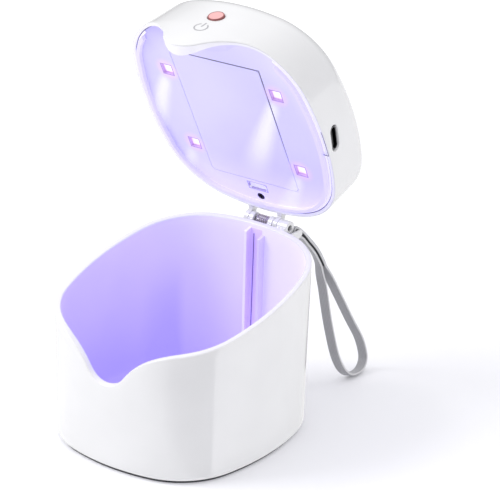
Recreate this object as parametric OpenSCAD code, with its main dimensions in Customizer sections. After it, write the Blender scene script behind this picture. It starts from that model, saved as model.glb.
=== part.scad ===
// Pocket UV steriliser case for teats and soothers: a deep cup with a sloping rim, a thick hinged lid that
// holds the lamps and the battery, and a wrist strap on the end of the hinge pin.
// Millimetres. The origin is on the surface that the case stands on, under the middle of the cup.
// -Y is the front, +Y the hinge side, +Z up. The lid is drawn shut and then swung open about the pin.

/* [Case outline] */
// Width of the case over its two sides
case_w = 83; // [76:0.5:92]
// Depth of the case from front to back
case_d = 90; // [84:0.5:98]
// Radius of the long curve of each side
side_r = 95; // [80:1:130]
// Radius of the long curve of the front and of the back
end_r = 75; // [64:1:100]
// Radius of the four upright corners
corner_r = 28.5; // [24:0.5:32]

/* [Cup] */
// Thickness of the wall of the cup
cup_wall = 2.2; // [1.6:0.1:3]
// Thickness of the floor of the cup
cup_floor = 2.5; // [1.5:0.1:4]
// Outward lean of the outer wall, in degrees
wall_draft = 0.5; // [0:0.1:1]
// Radius of the lower outer edge
foot_edge_r = 3.5; // [2:0.1:5]
// Radius between the floor and the wall, inside
cup_inner_r = 4; // [2:0.5:8]
// Height by which the rubber base pad lifts the case
foot_lift = 0.8; // [0.4:0.1:2]
// Width of the base pad
foot_w = 56; // [40:1:60]
// Length of the base pad
foot_l = 62; // [44:1:66]
// Radius of the corners of the base pad
foot_r = 18; // [10:1:20]
// Depth of the pocket that holds the base pad
foot_pocket = 0.7; // [0.3:0.1:1.2]

/* [Guide ribs] */
// Distance between the middles of the two upright ribs on the back wall
rib_pitch = 6.2; // [4:0.1:12]
// Thickness of a rib
rib_t = 1.8; // [1:0.1:2.6]
// Height of a rib off the back wall
rib_proud = 3; // [1.5:0.1:5]
// Distance of the top of the left rib under the rim
rib_drop_left = 1.6; // [1.4:0.1:6]
// Distance of the top of the right rib under the rim
rib_drop_right = 3.6; // [1.4:0.1:8]

/* [Parting line] */
// Height of the sloping rim over the middle of the case
rim_mid_z = 58.8; // [50:0.1:68]
// Slope of the rim, higher at the back, in degrees
rim_tilt = 13; // [8:0.5:16]
// Gap between the rim of the cup and the shut lid
rim_gap = 0.3; // [0.2:0.05:0.6]
// Depth of the front notch under the sloping rim
notch_depth = 14.6; // [8:0.1:20]
// Radius of the bottom of the notch
notch_r = 9.8; // [7:0.1:13]
// Radius of the shoulders beside the notch
shoulder_r = 25.7; // [18:0.1:30]
// Thickness of the beak of the lid that closes the notch
beak_t = 5; // [3:0.1:7]

/* [Lid shell] */
// Height of the lid over the parting line
lid_h = 25.5; // [22:0.1:34]
// Thickness of the wall of the lid shell
lid_wall = 1.5; // [1.2:0.1:2.2]
// Inward lean of the lid wall, in degrees
lid_draft = 3; // [1:0.5:5]
// Radius of the upper edge of the lid
lid_edge_r = 8; // [4:0.5:11]
// Angle by which the lid stands open
open_angle = 75; // [40:1:80]

/* [Lid liner] */
// Distance from the outside of the case to the lip of the liner
lip_inset = 2.7; // [2.5:0.1:3.4]
// Width of the lip of the liner
lip_w = 1.4; // [1:0.1:2.4]
// Distance by which the lip hangs below the parting line
lip_drop = 0.8; // [0.3:0.1:1.2]
// Distance of the face of the liner above the parting line
liner_rise = 1; // [0.6:0.1:2]
// Thickness of the plate of the liner
liner_t = 2; // [1.6:0.1:2.6]
// Width of the service panel
panel_w = 40; // [34:0.5:40]
// Length of the service panel
panel_l = 59.8; // [50:0.5:61]
// Place of the middle of the panel along the lid
panel_y = 0.9; // [0:0.1:2]
// Thickness of the service panel
panel_t = 1.2; // [0.8:0.1:1.4]
// Radius of the corners of the panel
panel_r = 2; // [1:0.5:4]
// Gap round the panel
panel_gap = 0.25; // [0.15:0.05:0.5]
// Width of the ledge that carries the panel
panel_ledge = 1.6; // [1:0.1:2.4]
// Length of the pry recess behind the panel
pry_w = 8.6; // [6:0.1:14]
// Height of the pry recess
pry_h = 3.4; // [2.4:0.1:4]
// Place of the pry recess along the lid
pry_y = 34.3; // [33.4:0.1:35]
// Place of the screw of the liner along the lid
screw_y = 39.4; // [38.8:0.1:39.6]
// Diameter of the head of that screw
screw_head_d = 3; // [2.4:0.1:3.4]

/* [Lamps] */
// Distance between the lamps along X
led_dx = 49; // [46:0.5:52]
// Distance between the lamps along the lid
led_dy = 37; // [30:0.5:42]
// Side of a lamp window
window_s = 4.6; // [4:0.1:5.4]
// Side of the glass behind a window
glass_s = 5.8; // [5.6:0.1:7]
// Thickness of the glass
glass_t = 0.8; // [0.5:0.1:1]
// Side of a lamp package
led_s = 3.5; // [2.8:0.1:4]
// Thickness of a lamp package
led_t = 1.2; // [0.8:0.1:1.6]
// Gap between the glass and the lamp
led_air = 0.2; // [0.1:0.05:0.5]
// Thickness of the circuit boards
board_t = 1; // [0.8:0.1:1.6]

/* [Power] */
// Width of the battery
battery_w = 34; // [28:0.5:36]
// Length of the battery
battery_l = 50; // [40:1:54]
// Thickness of the battery
battery_t = 7; // [4:0.5:8]
// Thickness of the foam pad between the panel and the battery
pad_t = 1.8; // [1:0.1:2.4]
// Distance from the battery to the main board
board_air = 3.5; // [3:0.1:4.5]
// Height of the middle of the charging port over the parting line, at the middle of the side
port_rise = 6; // [5.8:0.1:7]
// Width of the opening of the charging port
port_w = 9.7; // [9.5:0.1:11]
// Height of the opening of the charging port
port_h = 3.8; // [3.6:0.1:4.6]

/* [Button] */
// Diameter of the power button
button_d = 5.9; // [5:0.1:7]
// Height of the button over the parting line at the front
button_rise = 8.4; // [7.5:0.1:10]
// Distance of the button to the right of the middle
button_x = 1.6; // [0:0.1:3]
// Travel of the button
button_travel = 0.5; // [0.3:0.05:0.6]

/* [Hinge] */
// Distance of the hinge pin behind the cup
hinge_back = 4; // [3.8:0.1:5]
// Height of the hinge pin over the floor
hinge_drop = 1.2; // [0.8:0.1:1.6]
// Radius of the knuckles
knuckle_r = 2.7; // [2.4:0.1:2.9]
// Diameter of the hinge pin
pin_d = 2; // [1.5:0.1:2.4]
// Width of the gap that holds the spring
spring_w = 6.6; // [6.4:0.1:9]
// Width of a knuckle of the cup
cup_knuckle_w = 2.2; // [1.6:0.1:4]
// Width of a knuckle of the lid
lid_knuckle_w = 2.1; // [1.6:0.1:4]
// Gap between neighbours along the pin
knuckle_gap = 0.15; // [0.1:0.05:0.3]
// Diameter of the spring wire
wire_d = 0.5; // [0.35:0.05:0.55]
// Turns of the spring
spring_turns = 6; // [4:1:6]

/* [Strap] */
// Width of the strap
strap_w = 3.5; // [3:0.1:3.5]
// Thickness of one layer of the strap
strap_t = 1.3; // [0.8:0.1:1.5]

/* [Hidden] */
$fn = 48;

// ---- Derived sizes ----
side_cx = case_w / 2 - side_r;
end_cy = case_d / 2 - end_r;
centre_gap = sqrt(side_cx * side_cx + end_cy * end_cy);
side_reach = side_r - corner_r;
end_reach = end_r - corner_r;
along = (centre_gap * centre_gap + side_reach * side_reach - end_reach * end_reach) / (2 * centre_gap);
aside = sqrt(side_reach * side_reach - along * along);
corner_x = side_cx - side_cx / centre_gap * along - end_cy / centre_gap * aside;
corner_y = end_cy / centre_gap * along - side_cx / centre_gap * aside;
side_half = atan2(corner_y, corner_x - side_cx);
end_half = atan2(corner_x, corner_y - end_cy);
notch_turn = acos(1 - notch_depth / (notch_r + shoulder_r));
notch_half = (notch_r + shoulder_r) * sin(notch_turn);
pin_y = case_d / 2 + hinge_back;
pin_z = rim_mid_z + case_d / 2 * tan(rim_tilt) - hinge_drop;
cup_knuckle_x = spring_w / 2;
lid_knuckle_x = cup_knuckle_x + cup_knuckle_w + knuckle_gap;
lug_x = lid_knuckle_x + lid_knuckle_w + knuckle_gap;
lug_w = 4.4;
ear_w = 0.85;
ear_gap = 4.6;
strap_x = lug_x + ear_w + ear_gap / 2;
bar_y = pin_y + 4.4;
bar_z = pin_z - 3;
plate_in = liner_rise;
plate_out = liner_rise + liner_t;
rebate_wall = 1.5;
led_z = plate_out + led_air;
board_z = led_z + led_t;
battery_z = liner_rise + panel_t + pad_t;
main_z = battery_z + battery_t + board_air;
port_z = rim_mid_z + port_rise;
front_rim_z = rim_mid_z - case_d / 2 * tan(rim_tilt);
post_x = led_dx / 2 + 0.5;
post_y = led_dy / 2 + 8;
main_w = 2 * post_x + 6;
main_l = 2 * post_y + 5;
port_board_x = led_dx / 2 + 4.7;
port_board_l = 22;
button_z = front_rim_z + button_rise;
button_y = -case_d / 2 + button_rise * tan(lid_draft);
switch_y = -case_d / 2 + 9;

// ---- Helpers ----
// Places a piece in the frame of the sloping rim, at height h over it
module on_rim(h = 0) {
    translate([0, 0, rim_mid_z])
        rotate([rim_tilt, 0, 0])
            translate([0, 0, h])
                children();
}

// Slab between two heights over the sloping rim
module rim_slab(h0, h1) {
    on_rim(h0)
        translate([-70, -70, 0])
            cube([140, 140, h1 - h0]);
}

// The front notch, seen from the front; gap shrinks it for the beak that fits in it
module notch_shape(gap = 0) {
    xa = (notch_r - gap) * sin(notch_turn);
    za = notch_r - notch_depth - (notch_r - gap) * cos(notch_turn);
    difference() {
        union() {
            polygon([[-notch_half, 30], [-notch_half, gap], [-xa, za], [xa, za], [notch_half, gap], [notch_half, 30]]);
            translate([0, notch_r - notch_depth])
                circle(r = notch_r - gap, $fn = 90);
        }
        for (m = [-1, 1])
            translate([m * notch_half, -shoulder_r])
                circle(r = shoulder_r + gap, $fn = 180);
    }
}

// The notch, run through the front wall along the slope of the rim
module notch_run(gap = 0) {
    on_rim()
        translate([0, -24, 0])
            rotate([90, 0, 0])
                linear_extrude(40)
                    notch_shape(gap);
}

// Outline of the case, moved inwards by inset
function arc_points(cx, cy, r, a0, a1, n) = [for (i = [0 : n - 1]) [cx + r * cos(a0 + (a1 - a0) * i / n),
    cy + r * sin(a0 + (a1 - a0) * i / n)]];
function outline_points(inset) = concat(
    arc_points(side_cx, 0, side_r - inset, -side_half, side_half, 5),
    arc_points(corner_x, corner_y, corner_r - inset, side_half, 90 - end_half, 11),
    arc_points(0, end_cy, end_r - inset, 90 - end_half, 90 + end_half, 5),
    arc_points(-corner_x, corner_y, corner_r - inset, 90 + end_half, 180 - side_half, 11),
    arc_points(-side_cx, 0, side_r - inset, 180 - side_half, 180 + side_half, 5),
    arc_points(-corner_x, -corner_y, corner_r - inset, 180 + side_half, 270 - end_half, 11),
    arc_points(0, -end_cy, end_r - inset, 270 - end_half, 270 + end_half, 5),
    arc_points(corner_x, -corner_y, corner_r - inset, 270 + end_half, 360 - side_half, 11));

// Upright prism on the outline, from z0 up to z1
module outline_prism(inset, z0, z1) {
    translate([0, 0, z0])
        linear_extrude(z1 - z0)
            polygon(outline_points(inset));
}

// Block of the cup: walls that lean outwards from z0 up, and a rounded lower edge
module cup_block(inset, z0, edge) {
    top = rim_mid_z + 14;
    hull() {
        for (t = [0 : 15 : 90])
            translate([0, 0, z0 + edge * (1 - cos(t))])
                linear_extrude(0.01)
                    polygon(outline_points(inset + (rim_mid_z - z0 - edge) * tan(wall_draft) + edge * (1 - sin(t))));
        translate([0, 0, top])
            linear_extrude(0.01)
                polygon(outline_points(inset + (rim_mid_z - top) * tan(wall_draft)));
    }
}

// Block of the lid: upright leaning walls, a top that runs with the slope, a rounded upper edge
module lid_block(inset, top) {
    edge = lid_edge_r - inset;
    steps = [[0, 0], [0.5, 0], for (t = [0 : 15 : 90]) [1, t]];
    hull()
        for (s = steps) {
            h = s[0] < 1 ? -2 + s[0] * 2 * (top - edge + 2) : top - edge + edge * sin(s[1]);
            off = inset + max(h, 0) * tan(lid_draft) + (s[0] < 1 ? 0 : edge * (1 - cos(s[1])));
            multmatrix([[1, 0, 0, 0], [0, 1, 0, 0], [0, tan(rim_tilt), 1, rim_mid_z + h - 0.01], [0, 0, 0, 1]])
                linear_extrude(0.01)
                    polygon(outline_points(off));
        }
}

// Turns a piece of the lid from shut to open about the hinge pin
module opened() {
    translate([0, pin_y, pin_z])
        rotate([-open_angle, 0, 0])
            translate([0, -pin_y, -pin_z])
                children();
}

// Bar along X, centred on the hinge pin
module on_pin(x0, x1, r) {
    translate([x0, pin_y, pin_z])
        rotate([0, 90, 0])
            cylinder(r = r, h = x1 - x0);
}

// Plate with a section drawn in the Y and Z of the case, from x0 to x1
module side_plate(x0, x1) {
    translate([x0, 0, 0])
        rotate([90, 0, 90])
            linear_extrude(x1 - x0)
                children();
}

// Rounded slab, centred, standing on z = 0
module slab(w, l, t, r) {
    for (m = [-1, 1], n = [-1, 1])
        translate([m * (w / 2 - r), n * (l / 2 - r), 0])
            cylinder(r = r, h = t);
    translate([-w / 2, -l / 2 + r, 0])
        cube([w, l - 2 * r, t]);
    translate([-w / 2 + r, -l / 2, 0])
        cube([w - 2 * r, l, t]);
}

// Round-ended bar, w wide and h high, whose length runs along +Z
module pill(w, h, len) {
    for (m = [-1, 1])
        translate([m * (w - h) / 2, 0, 0])
            cylinder(d = h, h = len);
    translate([-(w - h) / 2, -h / 2, 0])
        cube([w - h, h, len]);
}

// Round-ended bar of the charging port, starting at x0 and running along +X
module port_pill(w, h, x0, len) {
    translate([x0, 0, port_z])
        rotate([90, 0, 90])
            pill(w, h, len);
}

// Unbroken round tube along a list of points; the first and last faces are flat
function unit(v) = v / norm(v);
function tube_dir(p, i) = unit(p[min(i + 1, len(p) - 1)] - p[max(i - 1, 0)]);
function tube_ring(p, i, r, n, up) = let (d = tube_dir(p, i), a = unit(cross(up, d)), b = cross(d, a))
    [for (k = [0 : n - 1]) p[i] + r * (a * cos(360 * k / n) + b * sin(360 * k / n))];
module tube(p, r, n, up) {
    rings = [for (i = [0 : len(p) - 1]) each tube_ring(p, i, r, n, up)];
    last = (len(p) - 1) * n;
    faces = concat([[for (k = [0 : n - 1]) k]], [[for (k = [n - 1 : -1 : 0]) last + k]],
        [for (i = [0 : len(p) - 2], k = [0 : n - 1])
            [i * n + k, (i + 1) * n + k, (i + 1) * n + (k + 1) % n, i * n + (k + 1) % n]]);
    polyhedron(points = rings, faces = faces, convexity = 10);
}

// Corners of a round outline
function round_points(r) = [for (a = [0 : 12 : 348]) r * [cos(a), sin(a)]];

// Smooth curve through hand-set points, for the strap
function between(p, i, t) = let (n = len(p), a = p[max(i - 1, 0)], b = p[i], c = p[i + 1], d = p[min(i + 2, n - 1)])
    0.5 * ((2 * b) + (c - a) * t + (2 * a - 5 * b + 4 * c - d) * t * t + (3 * b - a - 3 * c + d) * t * t * t);
function curve(p, steps) = [for (i = [0 : len(p) - 2], k = [0 : steps - 1]) between(p, i, k / steps), p[len(p) - 1]];
function beside(p, i, r) = let (d = tube_dir(p, i)) p[i] + r * [-d[1], d[0]];
module ribbon(p, t) {
    n = len(p);
    polygon(concat([for (i = [0 : n - 1]) beside(p, i, t / 2)], [for (i = [n - 1 : -1 : 0]) beside(p, i, -t / 2)]));
}

// ---- Cup ----
module cup_shell() {
    color("white")
        difference() {
            union() {
                difference() {
                    cup_block(0, foot_lift, foot_edge_r);
                    cup_block(cup_wall, foot_lift + cup_floor, cup_inner_r);
                }
                guide_ribs();
                cup_hinge();
            }
            difference() {
                rim_slab(0, 60);
                translate([-20, case_d / 2 + 0.6, 0])
                    cube([40, 20, 100]);
            }
            notch_run();
            on_pin(-cup_knuckle_x - cup_knuckle_w - 1, lug_x + lug_w - 0.9, pin_d / 2 + 0.02);
            on_pin(lug_x + lug_w - 1, lug_x + lug_w + 1, 1.2);
            strap_frame()
                rotate([0, 90, 0])
                    cylinder(r = 0.91, h = 5.7, center = true);
            translate([0, 0, foot_lift - 1])
                slab(foot_w + 0.1, foot_l + 0.1, 1 + foot_pocket, foot_r);
        }
}

// Two upright ribs on the back wall, of different height
module guide_ribs() {
    for (s = [[-1, rib_drop_left], [1, rib_drop_right]])
        difference() {
            translate([s[0] * rib_pitch / 2 - rib_t / 2, case_d / 2 - cup_wall - rib_proud - 0.3, foot_lift + cup_floor - 0.5])
                cube([rib_t, rib_proud + 1, 80]);
            rim_slab(-s[1], 40);
        }
}

// Knuckles, their bracket, the lug that takes the strap and its two ears
module cup_hinge() {
    wall_y = case_d / 2 - 2;
    for (m = [0, 1])
        mirror([m, 0, 0]) {
            on_pin(cup_knuckle_x, cup_knuckle_x + cup_knuckle_w, knuckle_r);
            side_plate(cup_knuckle_x, cup_knuckle_x + cup_knuckle_w)
                polygon([[pin_y, pin_z - knuckle_r], [wall_y, pin_z - 8], [wall_y, pin_z + 0.6], [pin_y, pin_z + 0.6]]);
        }
    on_pin(lug_x, lug_x + lug_w, knuckle_r);
    side_plate(lug_x, lug_x + lug_w)
        polygon([[pin_y, pin_z - knuckle_r], [wall_y, pin_z - 8], [wall_y, pin_z + 0.6], [pin_y, pin_z + 0.6]]);
    for (x = [lug_x, lug_x + ear_w + ear_gap])
        side_plate(x, x + ear_w) {
            translate([bar_y, bar_z])
                circle(r = 2.1);
            polygon([[bar_y, bar_z + 2.1], [bar_y, bar_z - 2.1], [wall_y, bar_z - 6], [wall_y, bar_z + 2.1]]);
        }
}

module base_pad() {
    color("gainsboro")
        slab(foot_w, foot_l, foot_lift + foot_pocket, foot_r);
}

module hinge_pin() {
    color("silver")
        on_pin(-lid_knuckle_x - lid_knuckle_w, lug_x + lug_w - 1.1, pin_d / 2);
}

// Torsion spring: one wire, with a leg against the cup and a leg against the lid
module torsion_spring() {
    coil_r = 2.1;
    pitch = (spring_w - wire_d - 0.5) / spring_turns;
    x0 = -(spring_w - wire_d - 0.5) / 2;
    sides = 24;
    count = spring_turns * sides;
    coil = [for (i = [0 : count]) [x0 + pitch * i / sides, pin_y + coil_r * cos(360 * i / sides + 180),
        pin_z + coil_r * sin(360 * i / sides + 180)]];
    leg_in = [for (k = [3 : -1 : 1]) coil[0] + [0, 0, -k * 0.9]];
    leg_out = [for (k = [1 : 3]) coil[count] + [0, 0, k * 0.9]];
    echo(spring_gap_to_itself_mm = pitch - wire_d);
    color("gray")
        tube(concat(leg_in, coil, leg_out), wire_d / 2, 8, [1, 0, 0]);
}

// Frame of the strap: X across the strap, Y backwards, Z up, leaning so that its loop lies on the table
strap_lean = 13;
module strap_frame() {
    translate([strap_x, bar_y, bar_z])
        rotate([0, -strap_lean, 0])
            children();
}

module strap_bar() {
    color("silver")
        strap_frame()
            rotate([0, 90, 0])
                cylinder(r = 0.9, h = 5.6, center = true);
}

// Sewn neck and hand loop of the strap, seen from the side; set by hand along the photographed lie
neck_path = [[0, 0], [4.2, -2.6], [8.5, -6.9], [11.9, -11.8], [14, -17.2]];
loop_path = [[14.5, -16.4], [15.3, -18.6], [18.2, -24.3], [22.9, -34.8], [27.3, -44.6], [31.2, -52.5], [32.5, -59.3],
    [31.6, -62.8], [28.4, -65.2], [24, -65.4], [20, -64.2], [16.9, -60.6], [14.8, -54.7], [13.8, -47.4],
    [13.3, -38], [13.3, -30], [13.3, -24], [13.1, -19.6], [12.95, -17.1]];
module wrist_strap() {
    color("silver")
        strap_frame()
            translate([-strap_w / 2, 0, 0])
                rotate([90, 0, 90])
                    difference() {
                        union() {
                            linear_extrude(strap_w)
                                polygon(round_points(1.02 + strap_t));
                            linear_extrude(strap_w)
                                ribbon(curve(neck_path, 4), 2 * strap_t + 0.4);
                            linear_extrude(strap_w)
                                ribbon(curve(loop_path, 4), strap_t);
                        }
                        translate([0, 0, -1])
                            linear_extrude(strap_w + 2)
                                polygon(round_points(1.02));
                    }
}

// ---- Lid ----
module lid_shell() {
    color("white")
        opened()
            difference() {
                union() {
                    difference() {
                        lid_block(0, lid_h);
                        difference() {
                            lid_block(lid_wall, lid_h - lid_wall / cos(rim_tilt));
                            rim_slab(-20, plate_out);
                        }
                        intersection() {
                            outline_prism(rebate_wall, 30, 90);
                            rim_slab(-20, plate_out);
                        }
                        rim_slab(-20, rim_gap);
                    }
                    lid_beak();
                    lid_hinge();
                    screw_boss();
                }
                on_pin(-lid_knuckle_x - lid_knuckle_w - 1, lid_knuckle_x + lid_knuckle_w + 1, pin_d / 2 + 0.03);
                port_pill(port_w, port_h, case_w / 2 - 6, 12);
                translate([button_x, button_y - 2, button_z])
                    rotate([-90, 0, 0])
                        cylinder(d = button_d + 0.3, h = 8);
                on_rim(0)
                    translate([0, screw_y, 0])
                        cylinder(d = 1.5, h = plate_out + 5.5);
            }
}

// Beak that closes the notch of the cup
module lid_beak() {
    difference() {
        intersection() {
            outline_prism(0.25, 20, 80);
            notch_run(rim_gap);
            rim_slab(-30, plate_in - 0.15);
        }
        outline_prism(beak_t, 10, 90);
    }
}

// Knuckles of the lid with their arms
module lid_hinge() {
    arm_y = case_d / 2 - 1.4;
    arm_z = pin_z + hinge_drop + rim_gap + 0.05;
    for (m = [0, 1])
        mirror([m, 0, 0]) {
            on_pin(lid_knuckle_x, lid_knuckle_x + lid_knuckle_w, knuckle_r);
            side_plate(lid_knuckle_x, lid_knuckle_x + lid_knuckle_w)
                polygon([[pin_y, pin_z + knuckle_r], [arm_y, arm_z + 5], [arm_y, arm_z], [pin_y - knuckle_r, arm_z],
                    [pin_y - knuckle_r, pin_z], [pin_y, pin_z]]);
        }
}

// Boss for the screw of the liner, grown from the back wall
module screw_boss() {
    intersection() {
        on_rim(plate_out)
            translate([-3, screw_y - 2.6, 0])
                cube([6, 9, 6.5]);
        outline_prism(1, 40, 90);
    }
}

module lid_liner() {
    color("lavender")
        opened()
            difference() {
                union() {
                    intersection() {
                        outline_prism(rebate_wall + 0.15, 40, 90);
                        rim_slab(plate_in, plate_out);
                    }
                    liner_lip();
                    on_rim(plate_out)
                        liner_posts();
                    port_posts();
                }
                on_rim(plate_in - 1)
                    translate([0, panel_y, 0])
                        slab(panel_w + 2 * panel_gap, panel_l + 2 * panel_gap, 1 + panel_t, panel_r + panel_gap);
                on_rim(0)
                    translate([0, panel_y, 0])
                        slab(panel_w - 2 * panel_ledge, panel_l - 2 * panel_ledge, 10, panel_r);
                on_rim(plate_in - 1)
                    translate([0, pry_y, 0])
                        pill(pry_w, pry_h, 1.8);
                on_rim(0)
                    translate([0, screw_y, 0])
                        cylinder(d = 2.2, h = 10);
                on_rim(plate_in - 1)
                    translate([0, screw_y, 0])
                        cylinder(d = screw_head_d + 0.3, h = 2);
                for (m = [-1, 1], n = [-1, 1])
                    on_rim(0)
                        translate([m * led_dx / 2, n * led_dy / 2, 0]) {
                            translate([-window_s / 2, -window_s / 2, 0])
                                cube([window_s, window_s, 10]);
                            translate([-glass_s / 2 - 0.05, -glass_s / 2 - 0.05, plate_out - glass_t])
                                cube([glass_s + 0.1, glass_s + 0.1, 5]);
                        }
                for (m = [-1, 1])
                    on_rim(plate_out - 1)
                        translate([m * led_dx / 2, 0, 0])
                            cylinder(d = 1.4, h = 6);
            }
}

// Lip of the liner, left out over the notch
module liner_lip() {
    difference() {
        intersection() {
            outline_prism(lip_inset, 30, 90);
            rim_slab(-lip_drop, plate_in + 0.5);
        }
        outline_prism(lip_inset + lip_w, 20, 95);
        on_rim(-10)
            translate([-notch_half - 0.6, -60, 0])
                cube([2 * notch_half + 1.2, 36, 10 + plate_in]);
    }
}

// Posts that carry the lamp boards and the main board
module liner_posts() {
    for (m = [-1, 1]) {
        translate([m * led_dx / 2, 0, 0])
            cylinder(d = 4.4, h = board_z - plate_out);
        for (n = [-1, 1])
            translate([m * post_x, n * post_y, 0])
                cylinder(d = 5, h = main_z - plate_out);
    }
}

// Two posts with level tops for the board of the charging port
module port_posts() {
    difference() {
        for (n = [-1, 1])
            translate([case_w / 2 - 8.5, n * 8.6, 40])
                cylinder(d = 4, h = port_z + 1.6 - 40);
        rim_slab(-60, plate_out - 0.5);
    }
}

module service_panel() {
    color("lavender")
        opened()
            on_rim(plate_in)
                translate([0, panel_y, 0])
                    slab(panel_w, panel_l, panel_t, panel_r);
}

module lamp_places() {
    for (m = [-1, 1], n = [-1, 1])
        translate([m * led_dx / 2, n * led_dy / 2, 0])
            children();
}

module led_windows() {
    color("violet")
        opened()
            on_rim(plate_out - glass_t)
                lamp_places()
                    translate([-glass_s / 2, -glass_s / 2, 0])
                        cube([glass_s, glass_s, glass_t]);
}

// Lamp packages with their round lens wells
module uv_leds() {
    color("white")
        opened()
            on_rim(led_z)
                lamp_places()
                    difference() {
                        translate([-led_s / 2, -led_s / 2, 0])
                            cube([led_s, led_s, led_t]);
                        translate([0, 0, -0.1])
                            cylinder(d1 = 2.8, d2 = 2, h = 0.6);
                    }
}

module led_boards() {
    color("green")
        opened()
            on_rim(board_z)
                for (m = [-1, 1])
                    translate([m * led_dx / 2, 0, 0])
                        difference() {
                            slab(7.6, led_dy + 8, board_t, 1);
                            translate([0, 0, -1])
                                cylinder(d = 2, h = 4);
                        }
}

module main_board() {
    color("green")
        opened()
            on_rim(main_z)
                difference() {
                    slab(main_w, main_l, board_t, 4);
                    for (m = [-1, 1], n = [-1, 1])
                        translate([m * post_x, n * post_y, -1])
                            cylinder(d = 2.2, h = 4);
                }
}

// Controller, charger, coil and capacitors on the main board
module board_chips() {
    color("dimgray")
        opened()
            on_rim(main_z + board_t) {
                translate([-14, -6, 0])
                    cube([7, 7, 0.9]);
                translate([4, -10, 0])
                    cube([5, 6.2, 1.6]);
                translate([12, 6, 0])
                    cube([6, 6, 3]);
                translate([-10, 10, 0])
                    cylinder(d = 5, h = 4);
                translate([-2, 10, 0])
                    cylinder(d = 5, h = 4);
                for (x = [-18 : 4 : 18])
                    translate([x, 20, 0])
                        cube([1.6, 0.8, 0.6]);
            }
}

// Pan head screw that points down the posts
module small_screw(shank_d, shank, head_d, head) {
    translate([0, 0, -shank])
        cylinder(d = shank_d, h = shank);
    difference() {
        cylinder(d = head_d, h = head);
        translate([-head_d / 2 + 0.4, -0.25, head - 0.4])
            cube([head_d - 0.8, 0.5, 1]);
        translate([-0.25, -head_d / 2 + 0.4, head - 0.4])
            cube([0.5, head_d - 0.8, 1]);
    }
}

module board_screws() {
    color("silver")
        opened() {
            on_rim(board_z + board_t)
                for (m = [-1, 1])
                    translate([m * led_dx / 2, 0, 0])
                        small_screw(1.36, 3, 3, 1);
            on_rim(main_z + board_t)
                for (m = [-1, 1], n = [-1, 1])
                    translate([m * post_x, n * post_y, 0])
                        small_screw(2, board_t, 3.6, 1.2);
        }
}

module usb_board() {
    color("green")
        opened()
            translate([port_board_x, -port_board_l / 2, port_z + 1.6])
                cube([case_w / 2 - 3.5 - port_board_x, port_board_l, board_t]);
}

// Metal shell of the charging socket
module usb_socket() {
    color("silver")
        opened()
            difference() {
                port_pill(9, 3.2, case_w / 2 - 8, 7.2);
                port_pill(8.4, 2.6, case_w / 2 - 7.6, 9);
            }
}

module usb_tongue() {
    color("dimgray")
        opened() {
            port_pill(8.36, 2.56, case_w / 2 - 7.6, 1.8);
            translate([case_w / 2 - 6, -3.35, port_z - 0.35])
                cube([4.4, 6.7, 0.7]);
        }
}

module battery() {
    color("silver")
        opened()
            on_rim(battery_z)
                translate([0, panel_y, 0])
                    slab(battery_w, battery_l, battery_t, 2.5);
}

module battery_pad() {
    color("dimgray")
        opened()
            on_rim(liner_rise + panel_t)
                translate([0, panel_y, 0])
                    slab(battery_w - 6, battery_l - 8, pad_t, 1);
}

// Two insulated wires from the battery up to the main board
module battery_leads() {
    color("red")
        opened()
            on_rim()
                for (s = [-1, 1])
                    tube(curve([[s * 2, -battery_l / 2 + panel_y - 0.03, battery_z + 4.6],
                        [s * 2, -battery_l / 2 + panel_y - 0.9, battery_z + 4.6],
                        [s * 2.2, -battery_l / 2 + panel_y - 1.9, battery_z + 5.4],
                        [s * 2.6, -battery_l / 2 + panel_y - 2, battery_z + 7.4],
                        [s * 3, -battery_l / 2 + panel_y - 1.2, battery_z + 9],
                        [s * 3, -battery_l / 2 + panel_y - 1, main_z - 0.7],
                        [s * 3, -battery_l / 2 + panel_y - 1, main_z - 0.03]], 4), 0.6, 8, [1, 0, 0]);
}

module button_board() {
    color("green")
        opened()
            difference() {
                translate([button_x - 8, switch_y, button_z - 3.4])
                    cube([16, board_t, 10.4]);
                rim_slab(-30, plate_out);
            }
}

module tact_switch() {
    color("dimgray")
        opened()
            difference() {
                translate([button_x - 3, switch_y - 2.4, button_z - 3])
                    cube([6, 2.4, 6]);
                translate([button_x, switch_y - 1.3, button_z])
                    rotate([90, 0, 0])
                        cylinder(d = 3.1, h = 4);
            }
}

module switch_stem() {
    color("black")
        opened()
            translate([button_x, switch_y - 1.9, button_z])
                rotate([90, 0, 0])
                    cylinder(d = 3, h = 1.9);
}

// Button: a disc in the wall, a flange behind it and a stem that meets the switch
module power_button() {
    stem_y = switch_y - 3.8;
    color("pink")
        opened()
            translate([button_x, 0, button_z])
                rotate([-90, 0, 0]) {
                    translate([0, 0, button_y - 0.5])
                        cylinder(d = button_d, h = lid_wall + 1.2);
                    translate([0, 0, button_y + lid_wall + 0.7])
                        cylinder(d = button_d + 1.6, h = 0.7);
                    translate([0, 0, button_y + lid_wall + 1])
                        cylinder(d = 2.6, h = stem_y - button_y - lid_wall - 1);
                }
}

module indicator_led() {
    color("tomato")
        opened()
            translate([button_x - 1, switch_y - 0.9, button_z + 4.6])
                cube([2, 0.9, 1.2]);
}

// Screw that holds the liner, its head sunk in the face of the liner
module liner_screw() {
    color("silver")
        opened()
            on_rim(plate_in + 1)
                translate([0, screw_y, 0])
                    mirror([0, 0, 1])
                        small_screw(1.45, 6, screw_head_d, 0.9);
}

// ---- Pieces ----
cup_shell();
base_pad();
hinge_pin();
torsion_spring();
wrist_strap();
lid_shell();
lid_liner();
service_panel();
led_windows();
uv_leds();
led_boards();
main_board();
board_chips();
board_screws();
usb_board();
usb_socket();
usb_tongue();
battery();
battery_pad();
battery_leads();
button_board();
tact_switch();
switch_stem();
power_button();
indicator_led();
liner_screw();
strap_bar();
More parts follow.
